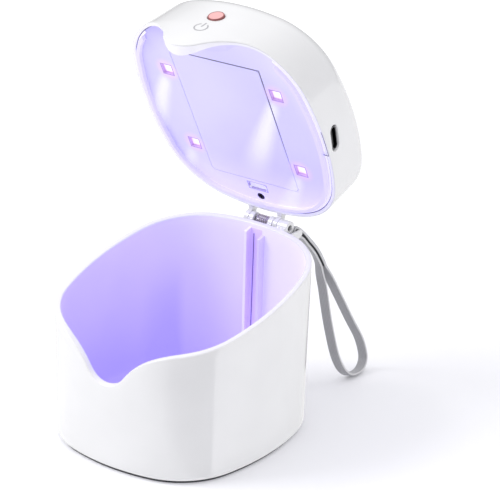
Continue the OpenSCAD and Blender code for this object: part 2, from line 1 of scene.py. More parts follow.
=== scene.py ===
"""Looks of a pocket UV steriliser case: white glossy cup and lid, a violet lamp-lit inside and a woven strap.

Lengths are in millimetres in the frame of the CAD model and become metres when a mesh is made.
"""

import math
from functools import partial

import bpy
import numpy as np
from mathutils import Matrix, Vector


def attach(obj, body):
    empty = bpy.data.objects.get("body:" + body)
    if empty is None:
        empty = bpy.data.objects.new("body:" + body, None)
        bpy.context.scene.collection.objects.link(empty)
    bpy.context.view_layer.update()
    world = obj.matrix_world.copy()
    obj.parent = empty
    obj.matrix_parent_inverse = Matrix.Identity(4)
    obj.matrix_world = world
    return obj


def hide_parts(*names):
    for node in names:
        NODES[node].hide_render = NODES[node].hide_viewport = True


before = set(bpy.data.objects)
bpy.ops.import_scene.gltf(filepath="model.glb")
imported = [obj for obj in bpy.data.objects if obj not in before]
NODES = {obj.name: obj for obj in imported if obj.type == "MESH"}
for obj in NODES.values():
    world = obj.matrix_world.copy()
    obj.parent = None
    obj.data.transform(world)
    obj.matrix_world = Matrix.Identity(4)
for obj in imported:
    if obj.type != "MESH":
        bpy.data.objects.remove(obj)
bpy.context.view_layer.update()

# ---- Camera, as the photograph was taken ----
IMAGE_PX, SENSOR_MM = 500, 36
FOCAL_PX = 1994.8
CAMERA_AZIMUTH = 35.82
CAMERA_ELEVATION = 21.83
CAMERA_ROLL = 1.74
CAMERA_DISTANCE = 735.9
AIM = (24.84, 33.41)  # offset of the aim to the right and up in the view, from this height over the origin
AIM_HEIGHT = 35.0

# ---- Case, in mm, as in the CAD source ----
CASE_W, CASE_D = 83.0, 90.0
SIDE_R, END_R, CORNER_R = 95.0, 75.0, 28.5
CUP_WALL, CUP_FLOOR, FOOT_LIFT = 2.2, 2.5, 0.8
WALL_DRAFT = math.radians(0.5)
FOOT_EDGE_R, CUP_INNER_R = 2.4, 4.0
RIM_MID_Z, RIM_TILT, RIM_GAP = 58.8, math.radians(13), 0.3
NOTCH_DEPTH, NOTCH_R, SHOULDER_R, BEAK_T = 14.6, 9.8, 25.7, 5.0
LID_H, LID_WALL, LID_DRAFT, LID_EDGE_R = 25.5, 1.5, math.radians(3), 8.0
LINER_RISE, LINER_T = 1.0, 2.0
OPEN_ANGLE = math.radians(75)
PIN_Y = CASE_D / 2 + 4
PIN_Z = RIM_MID_Z + CASE_D / 2 * math.tan(RIM_TILT) - 1.2
KNUCKLE_R, PIN_R = 2.7, 1.0
SPRING_W, CUP_KNUCKLE_W, LID_KNUCKLE_W, KNUCKLE_GAP = 6.6, 2.2, 2.1, 0.15
LID_KNUCKLE_X = SPRING_W / 2 + CUP_KNUCKLE_W + KNUCKLE_GAP
LUG_X = LID_KNUCKLE_X + LID_KNUCKLE_W + KNUCKLE_GAP
LUG_W, EAR_W, EAR_GAP = 4.4, 0.85, 4.6
BAR_Y, BAR_Z, BAR_R = PIN_Y + 4.4, PIN_Z - 3, 0.9
STRAP_X = LUG_X + EAR_W + EAR_GAP / 2
EYE_W, STRAP_W, STRAP_T, STRAP_LEAN = 3.5, 4.2, 1.3, math.radians(13)
LED_DX, LED_DY, WINDOW_S, GLASS_S, GLASS_T = 49.0, 37.0, 4.6, 5.8, 0.8
PANEL_W, PANEL_L, PANEL_Y, PANEL_GAP = 40.0, 59.8, 0.9, 0.25
NOOK, NOOK_Y = (8.6, 3.4), 34.3  # finger nook of the panel
PORT_Z, PORT_W, PORT_H = RIM_MID_Z + 6, 9.7, 3.8
BUTTON_X, BUTTON_UP = 1.6, 8.4
BUTTON_Z = RIM_MID_Z - CASE_D / 2 * math.tan(RIM_TILT) + BUTTON_UP
RIB_PITCH, RIB_T, RIB_PROUD = 6.2, 1.4, 3.0
RIB_SHIFT, RIB_DROP = 1.5, (1.6, 3.6)

# ---- Looks that the CAD source lacks, in mm ----
SKIRT_IN, SKIRT_W, SKIRT_LIFT = 1.9, 4.1, 0.05  # dark ring round the foot: painted shade for the line under the cup
SLOT_X, SLOT_W = 0.25, 0.4  # dark line of painted shade for the slot between the guide's ribs
CUP_EDGE, LID_EDGE = 0.5, 0.45  # rounded edges where the case parts
MARGIN_IN = 2.66  # pale margin beside the liner's lip
CUP_BITE, EAR_R = 2.0, 1.5  # how far lugs and ears start inside the wall, and the rounding of an ear


# ---- Outline and rim ----
def corner_centre():
    """Centre of the corner's arc, which runs smoothly into the arcs of the side and of the end."""
    p = np.array([CASE_W / 2 - SIDE_R, 0.0])
    q = np.array([0.0, CASE_D / 2 - END_R])
    gap = np.linalg.norm(q - p)
    u = (q - p) / gap
    reach, end_reach = SIDE_R - CORNER_R, END_R - CORNER_R
    along = (gap**2 + reach**2 - end_reach**2) / (2 * gap)
    return p + u * along - np.array([u[1], -u[0]]) * math.sqrt(reach**2 - along**2)


CORNER = corner_centre()
SIDE_HALF = math.atan2(CORNER[1], CORNER[0] - (CASE_W / 2 - SIDE_R))
END_HALF = math.atan2(CORNER[0], CORNER[1] - (CASE_D / 2 - END_R))


def outline(inset=0.0):
    """Points of the case's outline in one turn from +X, moved inwards by a number or by one per point."""
    side, end = CASE_W / 2 - SIDE_R, CASE_D / 2 - END_R
    cx, cy = CORNER
    quarter = math.pi / 2
    arcs = []
    for s, turn in ((1, 0), (-1, 2 * quarter)):
        arcs += [
            (s * side, 0, SIDE_R, turn - SIDE_HALF, turn + SIDE_HALF, 20),
            (s * cx, s * cy, CORNER_R, turn + SIDE_HALF, turn + quarter - END_HALF, 36),
            (0, s * end, END_R, turn + quarter - END_HALF, turn + quarter + END_HALF, 48),
            (-s * cx, s * cy, CORNER_R, turn + quarter + END_HALF, turn + 2 * quarter - SIDE_HALF, 36),
        ]
    centre, radius, angle = [], [], []
    for x, y, r, a0, a1, n in arcs:
        t = a0 + (a1 - a0) * np.arange(n) / n
        centre += [(x, y)] * n
        radius += [r] * n
        angle += list(t)
    radius, angle = np.array(radius) - inset, np.array(angle)
    return np.array(centre) + radius[:, None] * np.stack([np.cos(angle), np.sin(angle)], 1)


NOTCH_TURN = math.acos(1 - NOTCH_DEPTH / (NOTCH_R + SHOULDER_R))
NOTCH_HALF = (NOTCH_R + SHOULDER_R) * math.sin(NOTCH_TURN)


def notch(x, gap=0.0):
    """Depth of the front notch at x, square to the slope, with its beak made smaller by gap."""
    low, high = NOTCH_R - gap, SHOULDER_R + gap
    x = np.abs(x)
    bottom = NOTCH_DEPTH - NOTCH_R + np.sqrt(np.maximum(low**2 - x**2, 0))
    shoulder = SHOULDER_R - np.sqrt(np.maximum(high**2 - np.minimum(NOTCH_HALF - x, high) ** 2, 0))
    beside = np.where(x < NOTCH_HALF, np.maximum(shoulder, -gap), -gap)
    return np.where(x < low * math.sin(NOTCH_TURN), bottom, beside)


def slope_z(xy, h=0.0):
    """Height of the sloping parting plane over each point, or of the plane h square over it."""
    return RIM_MID_Z + xy[:, 1] * math.tan(RIM_TILT) + h / math.cos(RIM_TILT)


def rim_z(xy, gap=0.0):
    """Height of the cup's rim, or with a gap of the shut lid's edge, over each point."""
    return slope_z(xy, -np.where(xy[:, 1] < 0, notch(xy[:, 0], gap), -gap))


# ---- Mesh helpers ----
def opened(points):
    """Turns points of the shut lid to the open lid, about the hinge pin."""
    x, y, z = np.array(points, float).T
    y, z = y - PIN_Y, z - PIN_Z
    c, s = math.cos(OPEN_ANGLE), math.sin(OPEN_ANGLE)
    return np.stack([x, PIN_Y + y * c + z * s, PIN_Z + z * c - y * s], 1)


def on_rim(points):
    """Points given on the sloping rim, with their height square to it, in the case's frame."""
    x, y, z = np.array(points, float).T
    c, s = math.cos(RIM_TILT), math.sin(RIM_TILT)
    return np.stack([x, y * c - z * s, RIM_MID_Z + y * s + z * c], 1)


def strap_frame(points):
    """Points given across, behind and over the strap's bar, in the case's frame."""
    x, y, z = np.array(points, float).T
    c, s = math.cos(STRAP_LEAN), math.sin(STRAP_LEAN)
    return np.stack([STRAP_X + x * c - z * s, BAR_Y + y, BAR_Z + x * s + z * c], 1)


def mesh_object(name, points, faces, body, finishes, slot=None, sharp=35, picks=None):
    """A mesh piece in metres that rides on a body; picks gives each face its finish."""
    mesh = bpy.data.meshes.new(name)
    mesh.from_pydata((np.array(points) * 0.001).tolist(), [], [tuple(int(v) for v in f) for f in faces])
    mesh.update()
    obj = bpy.data.objects.new(name, mesh)
    bpy.context.scene.collection.objects.link(obj)
    for finish in finishes:
        mesh.materials.append(finish)
    if picks is not None:
        mesh.polygons.foreach_set("material_index", np.array(picks, dtype=np.int32))
    smooth(obj, sharp)
    if body:
        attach(obj, body)
    return obj


def smooth(obj, degrees):
    """Smooth shading that keeps edges sharper than this angle."""
    obj.data.polygons.foreach_set("use_smooth", [True] * len(obj.data.polygons))
    obj.data.set_sharp_from_angle(angle=math.radians(degrees))


def loft(rings, closed=False):
    """Points and faces between rings of equal length, and the ring step of each face."""
    count, n = len(rings), len(rings[0])
    faces, step = [], []
    for i in range(count if closed else count - 1):
        a, b = i * n, (i + 1) % count * n
        for k in range(n):
            q = (k + 1) % n
            faces.append((a + k, a + q, b + q, b + k))
            step.append(i)
    if not closed:
        faces += [tuple(range(n))[::-1], tuple(range((count - 1) * n, count * n))]
        step += [0, count - 1]
    return np.concatenate(rings), faces, step


def cut(obj, points, faces):
    """Takes a solid out of a piece."""
    tool = mesh_object("tool", points, faces, None, [])
    m = obj.modifiers.new("cut", "BOOLEAN")
    m.operation, m.object, m.solver = "DIFFERENCE", tool, "EXACT"
    bpy.context.view_layer.update()
    made = bpy.data.meshes.new_from_object(obj.evaluated_get(bpy.context.evaluated_depsgraph_get()))
    obj.modifiers.clear()
    obj.data = made
    bpy.data.objects.remove(tool)


def lofted(name, rings, body, finish, slot, closed=False, sharp=35):
    """A piece of one finish, lofted through rings; one on the lid or the button is opened with the lid."""
    points, faces, _ = loft(rings, closed=closed)
    return mesh_object(name, points if body == "cup" else opened(points), faces, body, [finish], slot, sharp)


def soften(obj, width, segments=3):
    """Rounds the edges of a piece by a bevel of this width in mm."""
    obj.modifiers.new("weld", "WELD").merge_threshold = 1e-6
    m = obj.modifiers.new("round", "BEVEL")
    m.width, m.segments, m.limit_method = width * 0.001, segments, "ANGLE"
    m.angle_limit, m.harden_normals, m.use_clamp_overlap = math.radians(30), True, True


def prism(profile, x0, x1):
    """Points and faces of a bar along X with a section given as (y, z) points."""
    return loft([np.array([(x, y, z) for y, z in profile]) for x in (x0, x1)])[:2]


def arc(y, z, r, n=48, a0=0.0, a1=360.0):
    """Points of an arc, in degrees."""
    t = np.radians(np.linspace(a0, a1, n, endpoint=abs(a1 - a0) < 359.9))
    return [(y + r * math.cos(a), z + r * math.sin(a)) for a in t]


def pill(w, h):
    """Points of a round-ended outline, w long and h high."""
    half = (w - h) / 2
    return arc(half, 0, h / 2, 12, -90, 90) + arc(-half, 0, h / 2, 12, 90, 270)


def curve(points, steps):
    """Smooth curve through given points, with this many steps from each to the next."""
    p = [np.array(q, float) for q in points]
    made = []
    for i in range(len(p) - 1):
        a, b, c, d = p[max(i - 1, 0)], p[i], p[i + 1], p[min(i + 2, len(p) - 1)]
        for k in range(steps):
            t = k / steps
            bend, twist = 2 * a - 5 * b + 4 * c - d, 3 * b - a - 3 * c + d
            made.append(0.5 * (2 * b + (c - a) * t + bend * t**2 + twist * t**3))
    return np.array(made + [p[-1]])


def courses(path):
    """Unit directions of a flat path along it and to its left."""
    ahead = np.gradient(path, axis=0)
    ahead /= np.linalg.norm(ahead, axis=1)[:, None]
    return ahead, np.stack([-ahead[:, 1], ahead[:, 0]], 1)


def joined(parts):
    """Points and faces of several lofts as one."""
    points, faces = [], []
    for rings in parts:
        made, quads, _ = loft(rings)
        faces += [tuple(v + len(points) for v in f) for f in quads]
        points += list(made)
    return points, faces


# ---- Finishes ----
def colour(hexa):
    """Linear colour of an sRGB hex value."""
    v = [int(hexa[i : i + 2], 16) / 255 for i in (1, 3, 5)]
    return (*[c / 12.92 if c <= 0.04045 else ((c + 0.055) / 1.055) ** 2.4 for c in v], 1.0)


SOFTLY = {"interpolation_type": "SMOOTHSTEP"}  # eases a range in and out


def add(tree, kind, inputs=(), stops=(), **settings):
    """Adds a node of a kind, with its operation after a space.

    Inputs go by name, or as a list in the node's own order. An input is a value, a hex colour, an output
    or a node, for its first output. Stops are (place, hex).
    """
    kind, *operation = kind.split()
    made = tree.nodes.new("ShaderNode" + kind)
    if operation:
        made.operation = operation[0]
    for key, value in settings.items():
        setattr(made, key, value)
    for key, value in inputs.items() if isinstance(inputs, dict) else enumerate(inputs):
        if isinstance(value, bpy.types.Node):
            value = value.outputs[0]
        if isinstance(value, bpy.types.NodeSocket):
            tree.links.new(value, made.inputs[key])
        else:
            made.inputs[key].default_value = colour(value) if isinstance(value, str) else value
    for k, (at, hexa) in enumerate(stops):
        band = made.color_ramp.elements
        element = band[k] if k < 2 else band.new(at)
        element.position, element.color = at, colour(hexa)
    return made


def start(name):
    """A new material's tree, with nothing in it, and the place on the object in mm."""
    mat = bpy.data.materials.new(name)
    mat.use_nodes = True
    mat.node_tree.nodes.clear()
    node = partial(add, mat.node_tree)
    coords = node("TexCoord").outputs["Object"]
    return mat, node, node("VectorMath SCALE", {0: coords, "Scale": 1000.0})


def finished(mat, node, inputs):
    """Ends a material with its surface."""
    node("OutputMaterial", {"Surface": node("BsdfPrincipled", inputs)})
    return mat


def moulding(name, low, high, roughness, **more):
    """Injection-moulded plastic: flow marks of 25 mm in its colour and orange peel of 0.7 mm in its gloss."""
    mat, node, place = start(name)
    flow = node("TexNoise", {"Vector": place, "Scale": 1 / 25, "Detail": 2.0})
    peel = node("TexNoise", {"Vector": place, "Scale": 1 / 0.7, "Detail": 1.0})
    gloss = node("TexNoise", {"Vector": place, "Scale": 1 / 5, "Detail": 3.0})
    inputs = {
        "Base Color": node("ValToRGB", {"Fac": flow}, [(0.3, low), (0.7, high)]),
        "Roughness": node("MapRange", [gloss, 0, 1, roughness - 0.03, roughness + 0.03]),
        "Normal": node("Bump", {"Height": peel, "Distance": 0.000002}),
        "IOR": 1.53,
    }
    return finished(mat, node, {**inputs, **{key.replace("_", " "): v for key, v in more.items()}})


def small_part(name, low, high, roughness, grain_mm, depth_mm, detail=3.0, duller=0.08, metallic=0.0):
    """Plastic, lacquer, ceramic or foam of the inner parts: a grain of this size and depth."""
    mat, node, place = start(name)
    grain = node("TexNoise", {"Vector": place, "Scale": 1 / grain_mm, "Detail": detail})
    return finished(mat, node, {
        "Base Color": node("ValToRGB", {"Fac": grain}, [(0.35, low), (0.65, high)]),
        "Metallic": metallic,
        "Roughness": node("MapRange", [grain, 0, 1, roughness - 0.08, roughness + duller]),
        "Normal": node("Bump", {"Height": grain, "Distance": depth_mm * 0.001}),
    })  # fmt: skip


def ground_metal(name, low, high, roughness, mark_mm):
    """Drawn, ground or pressed metal: finer marks of this size in its colour and its gloss."""
    return small_part(name, low, high, roughness, mark_mm, 0.003, detail=4.0, duller=0.1, metallic=1.0)


def lid_place(node, place):
    """Place on the lid in mm: across, towards the hinge, and square over the parting plane."""
    turns = (((0, PIN_Y, PIN_Z), OPEN_ANGLE), ((0, 0, RIM_MID_Z), -RIM_TILT))
    for centre, angle in turns:
        turn = {"Vector": place, "Center": centre, "Angle": angle}
        place = node("VectorRotate", turn, rotation_type="X_AXIS")
    split = node("SeparateXYZ", {"Vector": place}).outputs
    return split["X"], split["Y"], node("Math SUBTRACT", [split["Z"], RIM_MID_Z])


def tinted(node, tint, value, span, share, shade, **ease):
    """The tint turned to a shade as a value runs through a span, from the first share to the second."""
    return node("MixRGB", [node("MapRange", [value, *span, *share], **ease), tint, shade])


def off_rectangle(node, x, y, middle, size):
    """Distance from a rectangle's outline, under zero inside it."""
    off = []
    for along, mid, reach in zip((x, y), middle, size):
        away = node("Math ABSOLUTE", [node("Math SUBTRACT", [along, mid])])
        off.append(node("Math SUBTRACT", [away, reach / 2]))
    return node("Math MAXIMUM", off)


def lit_plastic(mat, node, place, tint, glow, roughness=0.3):
    """White ABS that the violet lamps flood: the tint is the light it returns, and part of it glows."""
    peel = node("TexNoise", {"Vector": place, "Scale": 1 / 0.8, "Detail": 1.0})
    gloss = node("TexNoise", {"Vector": place, "Scale": 1 / 4, "Detail": 3.0})
    return finished(mat, node, {
        "Base Color": tint,
        "Emission Color": tint,
        "Emission Strength": glow,
        "Roughness": node("MapRange", [gloss, 0, 1, roughness - 0.04, roughness + 0.04]),
        "IOR": 1.53,
        "Normal": node("Bump", {"Height": peel, "Distance": 0.000002}),
    })  # fmt: skip


def cup_lining(name):
    """Inside of the cup in painted violet light: deep violet low down and to the left, lilac white high up to
    the right.
    """
    mat, node, place = start(name)
    split = node("SeparateXYZ", {"Vector": place}).outputs
    across = node("MapRange", [split["X"], -40, 40, 0, 0.48])
    rise = node("MapRange", [split["Z"], 10, 68, 0, 0.34])
    back = node("MapRange", [split["Y"], -42, 42, 0, 0.14])
    clouds = node("TexNoise", {"Vector": place, "Scale": 1 / 30, "Detail": 2.0})
    drift = node("MapRange", [clouds, 0, 1, -0.06, 0.06])
    # Painted shade: the far left corner is deeper in colour, low down.
    turn = node("Math ARCTAN2", [split["X"], split["Y"]])
    into = node("MapRange", [turn, -0.62, -0.74], **SOFTLY)
    out_of = node("MapRange", [turn, -1.1, -0.76], **SOFTLY)
    low_down = node("MapRange", [split["Z"], 54, 30, 0, -0.15], **SOFTLY)
    corner = node("Math MULTIPLY", [node("Math MULTIPLY", [into, out_of]), low_down])
    total = node("Math", [node("Math", [across, rise]), node("Math", [back, drift])])
    total = node("Math", [total, corner])
    stops = [(0.1, "#B0A5FD"), (0.95, "#E4DFFE"), (0.4, "#CBC0FE"), (0.7, "#DCD6FE")]
    return lit_plastic(mat, node, place, node("ValToRGB", {"Fac": total}, stops), 0.3)


LAMPS = [(sx * LED_DX / 2, sy * LED_DY / 2) for sx in (-1, 1) for sy in (-1, 1)]
BEAM_RUN = (-0.47, 0.883)  # way that the lamps' light streaks over the liner
BEAM_SHARE = {LAMPS[0]: 0.9, LAMPS[1]: 0.6, LAMPS[2]: 1.0, LAMPS[3]: 0.75}


def liner_face(name):
    """Face of the liner in painted light: violet light with pink rings round the windows, pale streaks and a
    seam in painted shade.
    """
    mat, node, place = start(name)
    x, y, h = lid_place(node, place)
    drift = node("TexNoise", {"Vector": place, "Scale": 1 / 35, "Detail": 2.0})
    tint = node("ValToRGB", {"Fac": drift}, [(0.3, "#D9D4FC"), (0.7, "#DEDAFE")])
    # Painted light and shade: paler to the right of the beak, deeper to its left and nearly white by the
    # hinge.
    front = node("Math SUBTRACT", [y, x])
    tint = tinted(node, tint, front, (-30, -62), (0, 1), "#E3DFFD", **SOFTLY)
    corner = node("Math SUBTRACT", [node("Math MULTIPLY", [x, -0.5]), y])
    tint = tinted(node, tint, corner, (38, 54), (0, 0.85), "#C0B7F6", **SOFTLY)
    tint = tinted(node, tint, y, (18, 42), (0, 0.95), "#F5EEFF", **SOFTLY)
    # Painted streaks of the lamps' light down the liner from each window.
    for (lamp_x, lamp_y), share in BEAM_SHARE.items():
        dx = node("Math SUBTRACT", [x, lamp_x])
        dy = node("Math SUBTRACT", [y, lamp_y])
        away = node("CombineXYZ", [dx, dy])
        ways = ((*BEAM_RUN, 0), (-BEAM_RUN[1], BEAM_RUN[0], 0))
        run, side = (node("VectorMath DOT_PRODUCT", [away, way]).outputs["Value"] for way in ways)
        width = node("MapRange", [run, 0, 50, 2.4, 6.5])
        off = node("Math DIVIDE", [node("Math ABSOLUTE", [side]), width])
        rise = node("MapRange", [run, 1.5, 9], **SOFTLY)
        fade = node("MapRange", [run, 26, 60, share, 0], **SOFTLY)
        core = node("MapRange", [off, 0, 1.35, 1, 0], **SOFTLY)
        beam = node("Math MULTIPLY", [core, node("Math MULTIPLY", [rise, fade])])
        tint = node("MixRGB", [beam, tint, "#FFFFFF"])
    # The panel's seam in painted shade: dark at the right and by the beak, drowned in light at the left and
    # by the hinge.
    seam = off_rectangle(node, x, y, (0, PANEL_Y), (PANEL_W + PANEL_GAP, PANEL_L + PANEL_GAP))
    line = node("MapRange", [node("Math ABSOLUTE", [seam]), 0.16, 0.4, 1, 0])
    shade = node("MapRange", [node("Math SUBTRACT", [x, y]), 4, 26, 0.06, 1])
    shade = node("Math MULTIPLY", [shade, node("MapRange", [x, -20, -19.6])])
    tint = node("MixRGB", [node("Math MULTIPLY", [line, shade]), tint, "#7E7A96"])
    # Painted shade down inside the seam's gap.
    within = node("MapRange", [h, LINER_RISE + 0.06, LINER_RISE + 0.16])
    seam_gap_painted_shade = node("Math MULTIPLY", [within, node("MapRange", [shade, 0, 1, 0.15, 1])])
    tint = node("MixRGB", [seam_gap_painted_shade, tint, "#6A6678"])
    # The lip round the liner stands lower than its face; it gets a deeper tint and more painted glow.
    lip = node("MapRange", [h, 0.9, 0.7])
    tint = node("MixRGB", [lip, tint, "#C9C3F3"])
    glow = node("MapRange", [lip, 0, 1, 0.12, 0.5])
    # Painted light in the finger nook: a white floor and violet walls in painted shade.
    nook = off_rectangle(node, x, y, (0, NOOK_Y), NOOK)
    tint = tinted(node, tint, nook, (0, 0.2), (1, 0), "#FFFFFF")
    nook_wall_painted_shade = node("Math ABSOLUTE", [nook])
    tint = tinted(node, tint, nook_wall_painted_shade, (0.12, 0.4), (0.8, 0), "#9C8AD6")
    # Painted light round each window: a pink halo, a plum edge of painted shade and a paler reveal.
    off_x, off_y = (
        node("Math SUBTRACT", [node("Math ABSOLUTE", [along]), pitch / 2])
        for along, pitch in ((x, LED_DX), (y, LED_DY))
    )
    square = off_rectangle(node, off_x, off_y, (0, 0), (WINDOW_S, WINDOW_S))
    off = node("CombineXYZ", [off_x, off_y])
    spread = node("VectorMath LENGTH", [off]).outputs["Value"]
    tint = tinted(node, tint, spread, (2.6, 6.2), (0.8, 0), "#F4D8FA", **SOFTLY)
    tint = tinted(node, tint, square, (0.12, 0.45), (1, 0), "#8E62B4")
    tint = tinted(node, tint, square, (0.02, 0.1), (1, 0), "#D2B2EA")
    return lit_plastic(mat, node, place, tint, glow)


def beak_face(name):
    """Inside of the beak in painted light: the liner's violet, with painted shade deeper towards the tip and
    the left.
    """
    mat, node, place = start(name)
    x, _, h = lid_place(node, place)
    down = node("MapRange", [h, -14, 0, 0, 0.8])
    left = node("MapRange", [x, -14, 14, 0, 0.2])
    total = node("Math", [down, left])
    tint = node("ValToRGB", {"Fac": total}, [(0.0, "#ACA1F0"), (1.0, "#DEDAFD"), (0.5, "#C3BBF8")])
    return lit_plastic(mat, node, place, tint, 0.1)


def webbing(name, low, mid, high):
    """Flat woven polyester: weft ribs and warp bands, drawn at 0.55 and 0.7 mm so that they show."""
    mat, node, place = start(name)
    split = node("SeparateXYZ", {"Vector": node("UVMap").outputs["UV"]}).outputs
    weft = node("Math SINE", [node("Math MULTIPLY", [split["X"], math.tau / 1.1])])
    shift = node("Math MULTIPLY", [weft, 1.2])
    turn = node("Math MULTIPLY", [split["Y"], math.tau / 0.7])
    warp = node("Math SINE", [node("Math", [turn, shift])])
    height = node("Math MULTIPLY", [weft, warp])
    fuzz = node("TexNoise", {"Vector": place, "Scale": 6.0, "Detail": 4.0})
    weave = node("MapRange", [height, -1, 1, 0, 0.6])
    both = node("Math", [weave, node("Math MULTIPLY", [fuzz, 0.4])])
    return finished(mat, node, {
        "Base Color": node("ValToRGB", {"Fac": both}, [(0.2, low), (0.85, high), (0.5, mid)]),
        "Roughness": 0.8,
        "Sheen Weight": 0.3,
        "Sheen Roughness": 0.5,
        "Normal": node("Bump", {"Height": both, "Distance": 0.00008}),
    })  # fmt: skip


def window_glass(name):
    """Quartz window with the lit lamp behind it: white over most of it, violet at its edge."""
    mat, node, place = start(name)
    split = node("SeparateXYZ", {"Vector": node("UVMap").outputs["UV"]}).outputs
    square = off_rectangle(node, split["X"], split["Y"], (0, 0), (0, 0))
    stir = node("MapRange", [node("TexNoise", {"Vector": place, "Scale": 1.0}), 0, 1, -0.04, 0.04])
    stops = [(0.52, "#FFFFFF"), (1.0, "#B58BDA"), (0.68, "#FFF4FF"), (0.79, "#F2D2F8")]
    tint = node("ValToRGB", {"Fac": node("Math", [square, stir])}, stops)
    return finished(mat, node, {
        "Base Color": tint,
        "Emission Color": tint,
        "Emission Strength": 0.4,
        "Roughness": 0.06,
        "IOR": 1.46,
    })  # fmt: skip


# White ABS from a polished mould: an even gloss that lets the studio show softly in it.
polish = {"Coat_Weight": 0.8, "Coat_Roughness": 0.05}
outer_abs = moulding("white_abs_polished_moulding", "#ECECED", "#F1F1F2", 0.18, **polish)
# The same ABS on the lid's edge, the cup's rim and beside the liner; on the lid's edge and beside the liner
# the violet light's trace is a painted glow.
painted_edge_glow = {"Emission_Color": "#FFFFFF", "Emission_Strength": 0.12}
edge_abs_painted_glow = moulding("white_abs_edge_with_painted_glow", "#F3F2F5", "#F7F6F8", 0.24, **painted_edge_glow)
rim_abs = moulding("white_abs_rim_of_cup", "#EEEDF0", "#F3F2F4", 0.24)
painted_margin_glow = {"Emission_Color": "#F0EDFF", "Emission_Strength": 0.3}
margin_abs_painted_glow = moulding("white_abs_margin_with_painted_glow", "#EDEAFC", "#F3F0FE", 0.3, **painted_margin_glow)
# White ABS inside the case, which looks violet in the lamps' light: even on the walls, streaked on the liner.
cup_violet = cup_lining("white_abs_cup_in_violet_light")
liner_violet = liner_face("white_abs_liner_in_violet_light")
beak_violet = beak_face("white_abs_beak_in_violet_light")
# The guide's moulded ribs in painted light and shade: one lit in front, one lilac, their bed in painted half
# shade and a nearly dark slot of painted shade.
RIB_COLOURS = {
    "lit": ("#ECE7FF", "#F0EBFF"),
    "lilac": ("#D8CDFE", "#DDD3FE"),
    "painted_half_shade": ("#DFCCF8", "#E5D3FA"),
    "slot": ("#6E5596", "#775E9E"),
}
rib_painted_lit, rib_lilac, rib_painted_shade, slot_painted_shade = (
    moulding(f"white_abs_rib_{name}", low, high, 0.3, Emission_Color=high, Emission_Strength=0.12)
    for name, (low, high) in RIB_COLOURS.items()
)
# Painted shade for the bottom of the narrow gap round the liner, which hardly any light reaches.
gap_shade = small_part("abs_gap_in_shade", "#6C6880", "#7A7690", 0.6, 1.0, 0.002)
# Silicone pressed with a fine sandblasted face, which has no highlight, and the skirt's duller dark colour,
# painted shade under the cup.
pad_silicone = small_part("grey_silicone_pressed", "#6E6E74", "#77777C", 0.62, 0.4, 0.02)
skirt_painted_shade = small_part("dark_skirt_painted_shade", "#3E3E44", "#48484E", 0.7, 0.5, 0.01)
# Stainless pins, ground round: a thin bright line of light along them.
pin_steel = ground_metal("stainless_steel_ground", "#B4B4B8", "#C6C6CA", 0.28, 0.3)
# Spring wire with an oil-tempered skin, which looks mauve grey and half dull.
spring_steel = ground_metal("music_wire_oil_tempered", "#C6BCCC", "#D8CFDE", 0.5, 0.3)
# A blackened screw, a dark plated socket, and the cell's pale foil with its wide soft glints.
screw_steel = ground_metal("carbon_steel_black_oxide", "#2C2638", "#3A3348", 0.4, 0.3)
socket_steel = ground_metal("nickelled_steel_stamped", "#5C5C60", "#6E6E72", 0.34, 0.3)
cell_foil = ground_metal("aluminium_laminate_foil_pressed", "#A9ABB0", "#BEC0C4", 0.42, 0.9)
# Inside the lid: glossy green boards, dull black chips, open-celled foam, shiny leads and chalky lamp bodies.
board_mask = small_part("glass_epoxy_with_green_solder_mask", "#175A36", "#1E6B41", 0.35, 2.5, 0.004)
chip_epoxy = small_part("black_epoxy_moulded", "#141416", "#1D1D20", 0.45, 0.5, 0.006)
foam = small_part("polyurethane_foam_cut", "#26262A", "#3A3A40", 0.85, 0.7, 0.15)
lead_pvc = small_part("red_pvc_extruded", "#A01C1C", "#B82626", 0.4, 1.5, 0.004)
ceramic = small_part("white_alumina_sintered", "#EFEAF8", "#F8F5FF", 0.4, 1.0, 0.004)
# The button's clear pink cap with a soft shine, its duller edge in painted shade and the red light behind it.
button_pc = moulding("pink_polycarbonate_moulding", "#EFACAC", "#F6BAB8", 0.22, Coat_Weight=0.3)
button_ring_painted_shade = small_part("dull_red_edge_painted_shade", "#A05C5C", "#AE6A69", 0.4, 1.0, 0.003)
led_epoxy = small_part("red_epoxy_cast_lens", "#E8423A", "#F05048", 0.2, 1.0, 0.002)
# Grey ink, pad printed: flat and a little duller than the plastic round it.
icon_ink = small_part("grey_ink_pad_printed", "#A9A9AD", "#B6B6BA", 0.55, 0.4, 0.002)
# Woven polyester: a matt grey face, paler edges as a painted highlight, spun thread, and painted shade for
# the dark fold between two layers.
strap_polyester = webbing("grey_polyester_woven_tape", "#909094", "#ACACB0", "#C4C4C8")
strap_edge_painted_highlight = webbing("grey_polyester_woven_edge_painted_highlight", "#C6C6C8", "#DADADC", "#E8E8EA")
sewing_thread = small_part("pale_grey_thread_spun", "#B4B4B8", "#C8C8CC", 0.8, 0.25, 0.02)
fold_painted_shade = small_part("grey_polyester_fold_painted_shade", "#28282C", "#34343A", 0.88, 0.6, 0.02)
# Quartz, cut and polished: sharp glints over the lamp's own light.
window_quartz = window_glass("quartz_window_over_lit_lamp")

FINISH = {
    "base_pad": pad_silicone, "hinge_pin": pin_steel, "strap_bar": pin_steel, "torsion_spring": spring_steel,
    "lid_liner": liner_violet, "service_panel": liner_violet, "uv_leds": ceramic,
    "led_boards": board_mask, "main_board": board_mask, "usb_board": board_mask, "button_board": board_mask,
    "board_chips": chip_epoxy, "usb_tongue": chip_epoxy, "tact_switch": chip_epoxy, "switch_stem": chip_epoxy,
    "board_screws": pin_steel, "liner_screw": screw_steel, "usb_socket": socket_steel, "battery": cell_foil,
    "battery_pad": foam, "battery_leads": lead_pvc, "power_button": button_pc, "indicator_led": led_epoxy,
}  # fmt: skip
for node_name, finish in FINISH.items():
    cad = NODES[node_name]
    cad.data.materials.clear()
    cad.data.materials.append(finish)


